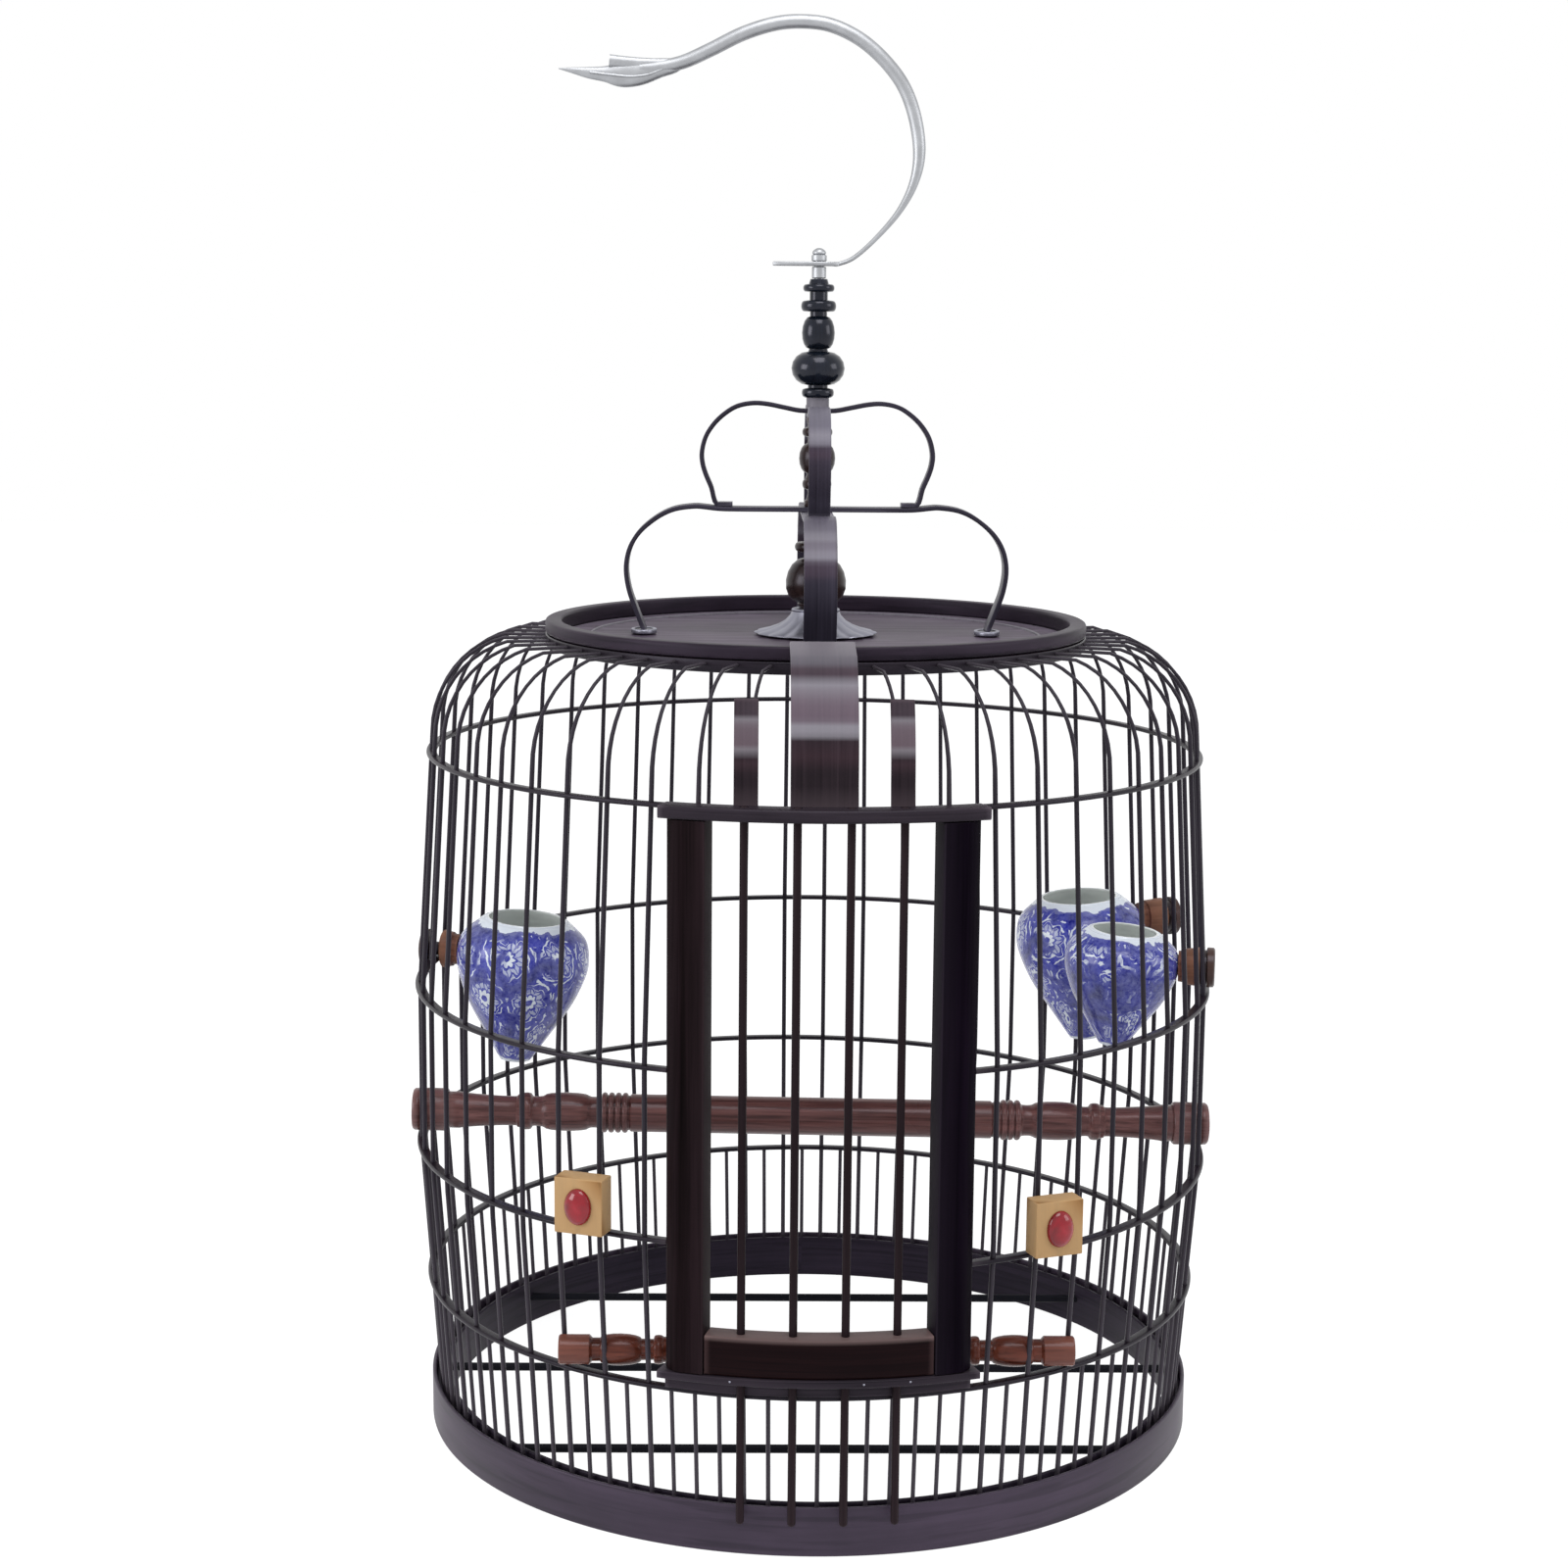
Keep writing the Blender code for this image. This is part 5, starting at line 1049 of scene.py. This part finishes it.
# Label, splints from the door, holder's height, inset from the wall, radius, height, rim's height,
# lean in degrees, flowers round the cup and density of the scrolls
CUPS = (
    ("left", -15, 197.3, 39.7, 29.4, 64.4, 212.8, -5.0, 8, 0.80),
    ("right_front", 12, 204.0, 35.0, 24.5, 50.2, 218.8, 5.0, 7, 0.64),
    ("right_back", 16, 210.0, 42.0, 29.0, 64.9, 221.4, -4.0, 8, 0.80),
)
CUP_WALL = 2.2
CUP_FLOOR_SHARE, CUP_FOOT_SHARE = 0.16, 0.06


def mark_outside(piece, outer, tall):
    """Mark the outer face of a cup, where the pattern is."""
    outside = piece.data.attributes.new("outside", "FLOAT", "POINT")
    values = []
    for vert in piece.data.vertices:
        r = math.hypot(vert.co.x, vert.co.y) / MM
        z = vert.co.z / MM
        near = min(outer, key=lambda pair: abs(pair[1] - z))
        values.append(1.0 if r > near[0] - CUP_WALL * 0.4 or z < CUP_FOOT_SHARE * tall else 0.0)
    outside.data.foreach_set("value", values)


def make_cups():
    """Porcelain cups that lean a little, with their turned holders."""
    for number, (label, gap, level, inset, radius, tall, rim, lean, flowers, density) in enumerate(CUPS):
        angle = gap * PITCH
        splint = line_radius(level)
        out = splint - inset
        outer = [Vector((radius * share, tall * up)) for up, share in CUP_OUTLINE]
        outer = [(p.x, p.y) for p in smooth_line(outer, 5)]
        inner = [(r - CUP_WALL, z) for r, z in outer if z > CUP_FLOOR_SHARE * tall]
        lip = [(outer[-1][0] - CUP_WALL * share, tall) for share in (0.25, 0.75)]
        base = [(0.0, 0.0), (outer[0][0] - 0.8, 0.0)]
        profile = base + outer[:-1] + [(outer[-1][0], tall - 0.6)] + lip + list(reversed(inner[:-1]))
        profile += [(inner[0][0] * 0.6, 0.09 * tall), (0.0, 0.07 * tall)]
        name = "cup_" + label
        low, high = 0.03 * tall * MM, 0.955 * tall * MM
        glaze = porcelain(name + "_porcelain", radius * MM, low, high, flowers, density)
        spot = at(*place(angle, out, level)) @ turn_about("Z", angle)
        spot = spot @ turn_about("X", math.radians(lean)) @ at(0.0, 0.0, rim - tall - level)
        spot = spot @ turn_about("Z", 0.7 * number + 0.4)
        cup = Shape().spin(profile, 72).looks(name, "porcelain", spot=spot, material=glaze)
        mark_outside(cup, outer, tall)
        holder = "cup_holder_" + label
        spot = at(0.0, 0.0, level) @ turn_about("Z", angle) @ turn_about("X", QUARTER)
        # The lowest holder also clasps the upper hoop, the others only the splints
        low_hold = level - 8.9 < UPPER_Z + HOOP_HEIGHT / 2
        face = 172.3 if low_hold else splint * math.cos(PITCH / 2) + SPLINT_R
        back = 167.3 if low_hold else splint * math.cos(PITCH / 2) - SPLINT_R
        neck = 3.0 if low_hold else 7.4
        reach = out + radius * 0.99
        line = turned_line((face + 4.0, 7.6), (
            (face + 3.4, 8.5, 0), (face + 0.9, 8.6, 0), (face + 0.5, 8.1, 0), (face + 0.4, neck, 0),
            (back - 0.4, neck, 0),
        ))
        Shape().spin(capped(line), 40).make("holder_cap_" + label, "spindle", holder, spot=spot)
        line = turned_line((back - 0.3, 7.8), (
            (back - 0.8, 8.4, 0), (reach + 3.0, 7.6, 0), (reach + 2.4, 6.9, 0), (reach, 6.6, 0),
        ))
        Shape().spin(capped(line), 40).make("holder_peg_" + label, "holder", holder, spot=spot)


def make_medallions():
    """A tan block with a red stone at each side of the door, facing 20 degrees out."""
    half_width, half_depth, half_height, stone_height = 10.0, 4.75, 11.1, 3.4
    facing = math.radians(20)
    for label, sign in (("left", -1), ("right", 1)):
        ends = [sign * math.radians(31.5) + half / WALL_R for half in (-half_width, half_width)]
        level = max(middle_z(end) for end in ends) + 1.2 + half_height
        aside = sign * WALL_R * math.sin(math.radians(11.5))
        back = WALL_R * math.cos(4.5 * PITCH - facing) + 1.35
        turn = turn_about("Z", sign * facing)
        plan = [(half_width * x, half_depth * y) for x, y in ((1, 1), (-1, 1), (-1, -1), (1, -1))]
        block = Shape().prism(plan, -half_height, half_height)
        spot = turn @ at(aside, -back - half_depth, level)
        block.make("medallion_" + label, "tan", "medallion_block_" + label, spot=spot, bevel=0.5)
        arcs = [QUARTER * k / 8 for k in range(1, 9)]
        rows = [(math.sin(arc), stone_height * math.cos(arc)) for arc in arcs]
        gem = Shape().spin([(0.0, stone_height)] + rows + [(0.96, -0.1), (0.0, -0.1)], 40)
        spot = turn @ at(aside, -back - 9.6, level) @ turn_about("X", QUARTER)
        spot = spot @ Matrix.Diagonal((5.6, 7.3, 1.0, 1.0))
        gem.make("medallion_gem_" + label, "stone", "medallion_stone_" + label, spot=spot)


# Stage

def make_floor():
    """A plain pale floor that keeps the cage's shadow."""
    bpy.ops.mesh.primitive_plane_add(size=12.0, location=(0.0, 0.0, -0.0002))
    floor = bpy.context.object
    floor.name = "floor"
    nodes = Nodes(bpy.data.materials.new("pale_floor"))
    nodes.finish(Base_Color=(0.86, 0.86, 0.87, 1.0), Roughness=0.8, Specular_IOR_Level=0.1)
    path = nodes.add("LightPath").outputs
    seen = nodes.most(path["Is Camera Ray"], path["Is Glossy Ray"])
    glow = nodes.add("Emission", {"Strength": 1.30})
    nodes.blend_surface(nodes.times(seen, 0.72), nodes.shader.outputs[0], glow.outputs[0])
    floor.data.materials.append(nodes.owner)


def make_world():
    """A white backdrop for what is seen, and a softer level of light on the object."""
    SCENE.world = bpy.data.worlds.new("studio")
    nodes = Nodes(SCENE.world)
    light = nodes.tree.nodes["Background"]
    nodes.put(light, {"Color": (0.95, 0.97, 1.0, 1.0), "Strength": 0.55})
    seen = nodes.add("Background", {"Color": (1.0, 1.0, 1.0, 1.0)})
    path = nodes.add("LightPath").outputs
    share = nodes.most(path["Is Camera Ray"], path["Is Glossy Ray"], path["Is Transmission Ray"])
    nodes.blend_surface(share, light.outputs[0], seen.outputs[0])


def make_lights():
    """Soft boxes: one above and in front, one at the left and a weaker one at the right."""
    for name, spot, size, power in (
        ("top_light", (0.1, -0.7, 1.7), 0.9, 14.0),
        ("left_light", (-1.5, -0.7, 0.7), 0.8, 12.0),
        ("right_light", (1.6, -0.5, 0.8), 0.8, 7.0),
    ):
        data = bpy.data.lights.new(name, "AREA")
        data.shape = "SQUARE"
        data.size = size
        data.energy = power
        lamp = bpy.data.objects.new(name, data)
        lamp.location = spot
        aim = Vector((0.0, 0.0, 0.22)) - Vector(spot)
        lamp.rotation_euler = aim.to_track_quat("-Z", "Y").to_euler()
        SCENE.collection.objects.link(lamp)


def make_camera():
    """The photograph's view: 1.4 degrees round from the door, 463 mm up and 1158 mm away."""
    yaw, pitch, roll, spin = (math.radians(value) for value in (-0.6395, 9.104, 0.48, -1.4))
    forward = Vector((math.sin(yaw) * math.cos(pitch), math.cos(yaw) * math.cos(pitch), -math.sin(pitch)))
    level = Vector((math.cos(yaw), -math.sin(yaw), 0.0))
    above = level.cross(forward)
    right = level * math.cos(roll) + above * math.sin(roll)
    up = above * math.cos(roll) - level * math.sin(roll)
    distance, height = 1.1582, 0.4630
    data = bpy.data.cameras.new("camera")
    data.lens = 62.16
    data.sensor_width = 36.0
    camera = bpy.data.objects.new("camera", data)
    SCENE.collection.objects.link(camera)
    facing = Matrix((right, up, -forward)).transposed().to_4x4()
    camera.matrix_world = turn_about("Z", spin) @ Matrix.Translation((0.0, -distance, height)) @ facing
    SCENE.camera = camera


make_camera()
make_world()
make_lights()
make_floor()
make_base()
make_splints()
make_hoops()
make_lid()
make_crown()
make_rod_pieces()
make_hook()
make_door_frame()
make_door()
make_panels()
make_perches()
make_cups()
make_medallions()
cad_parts["rod_nut"].data.materials.clear()
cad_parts["rod_nut"].data.materials.append(MATERIALS["steel"])
SCENE.view_settings.view_transform = "Standard"
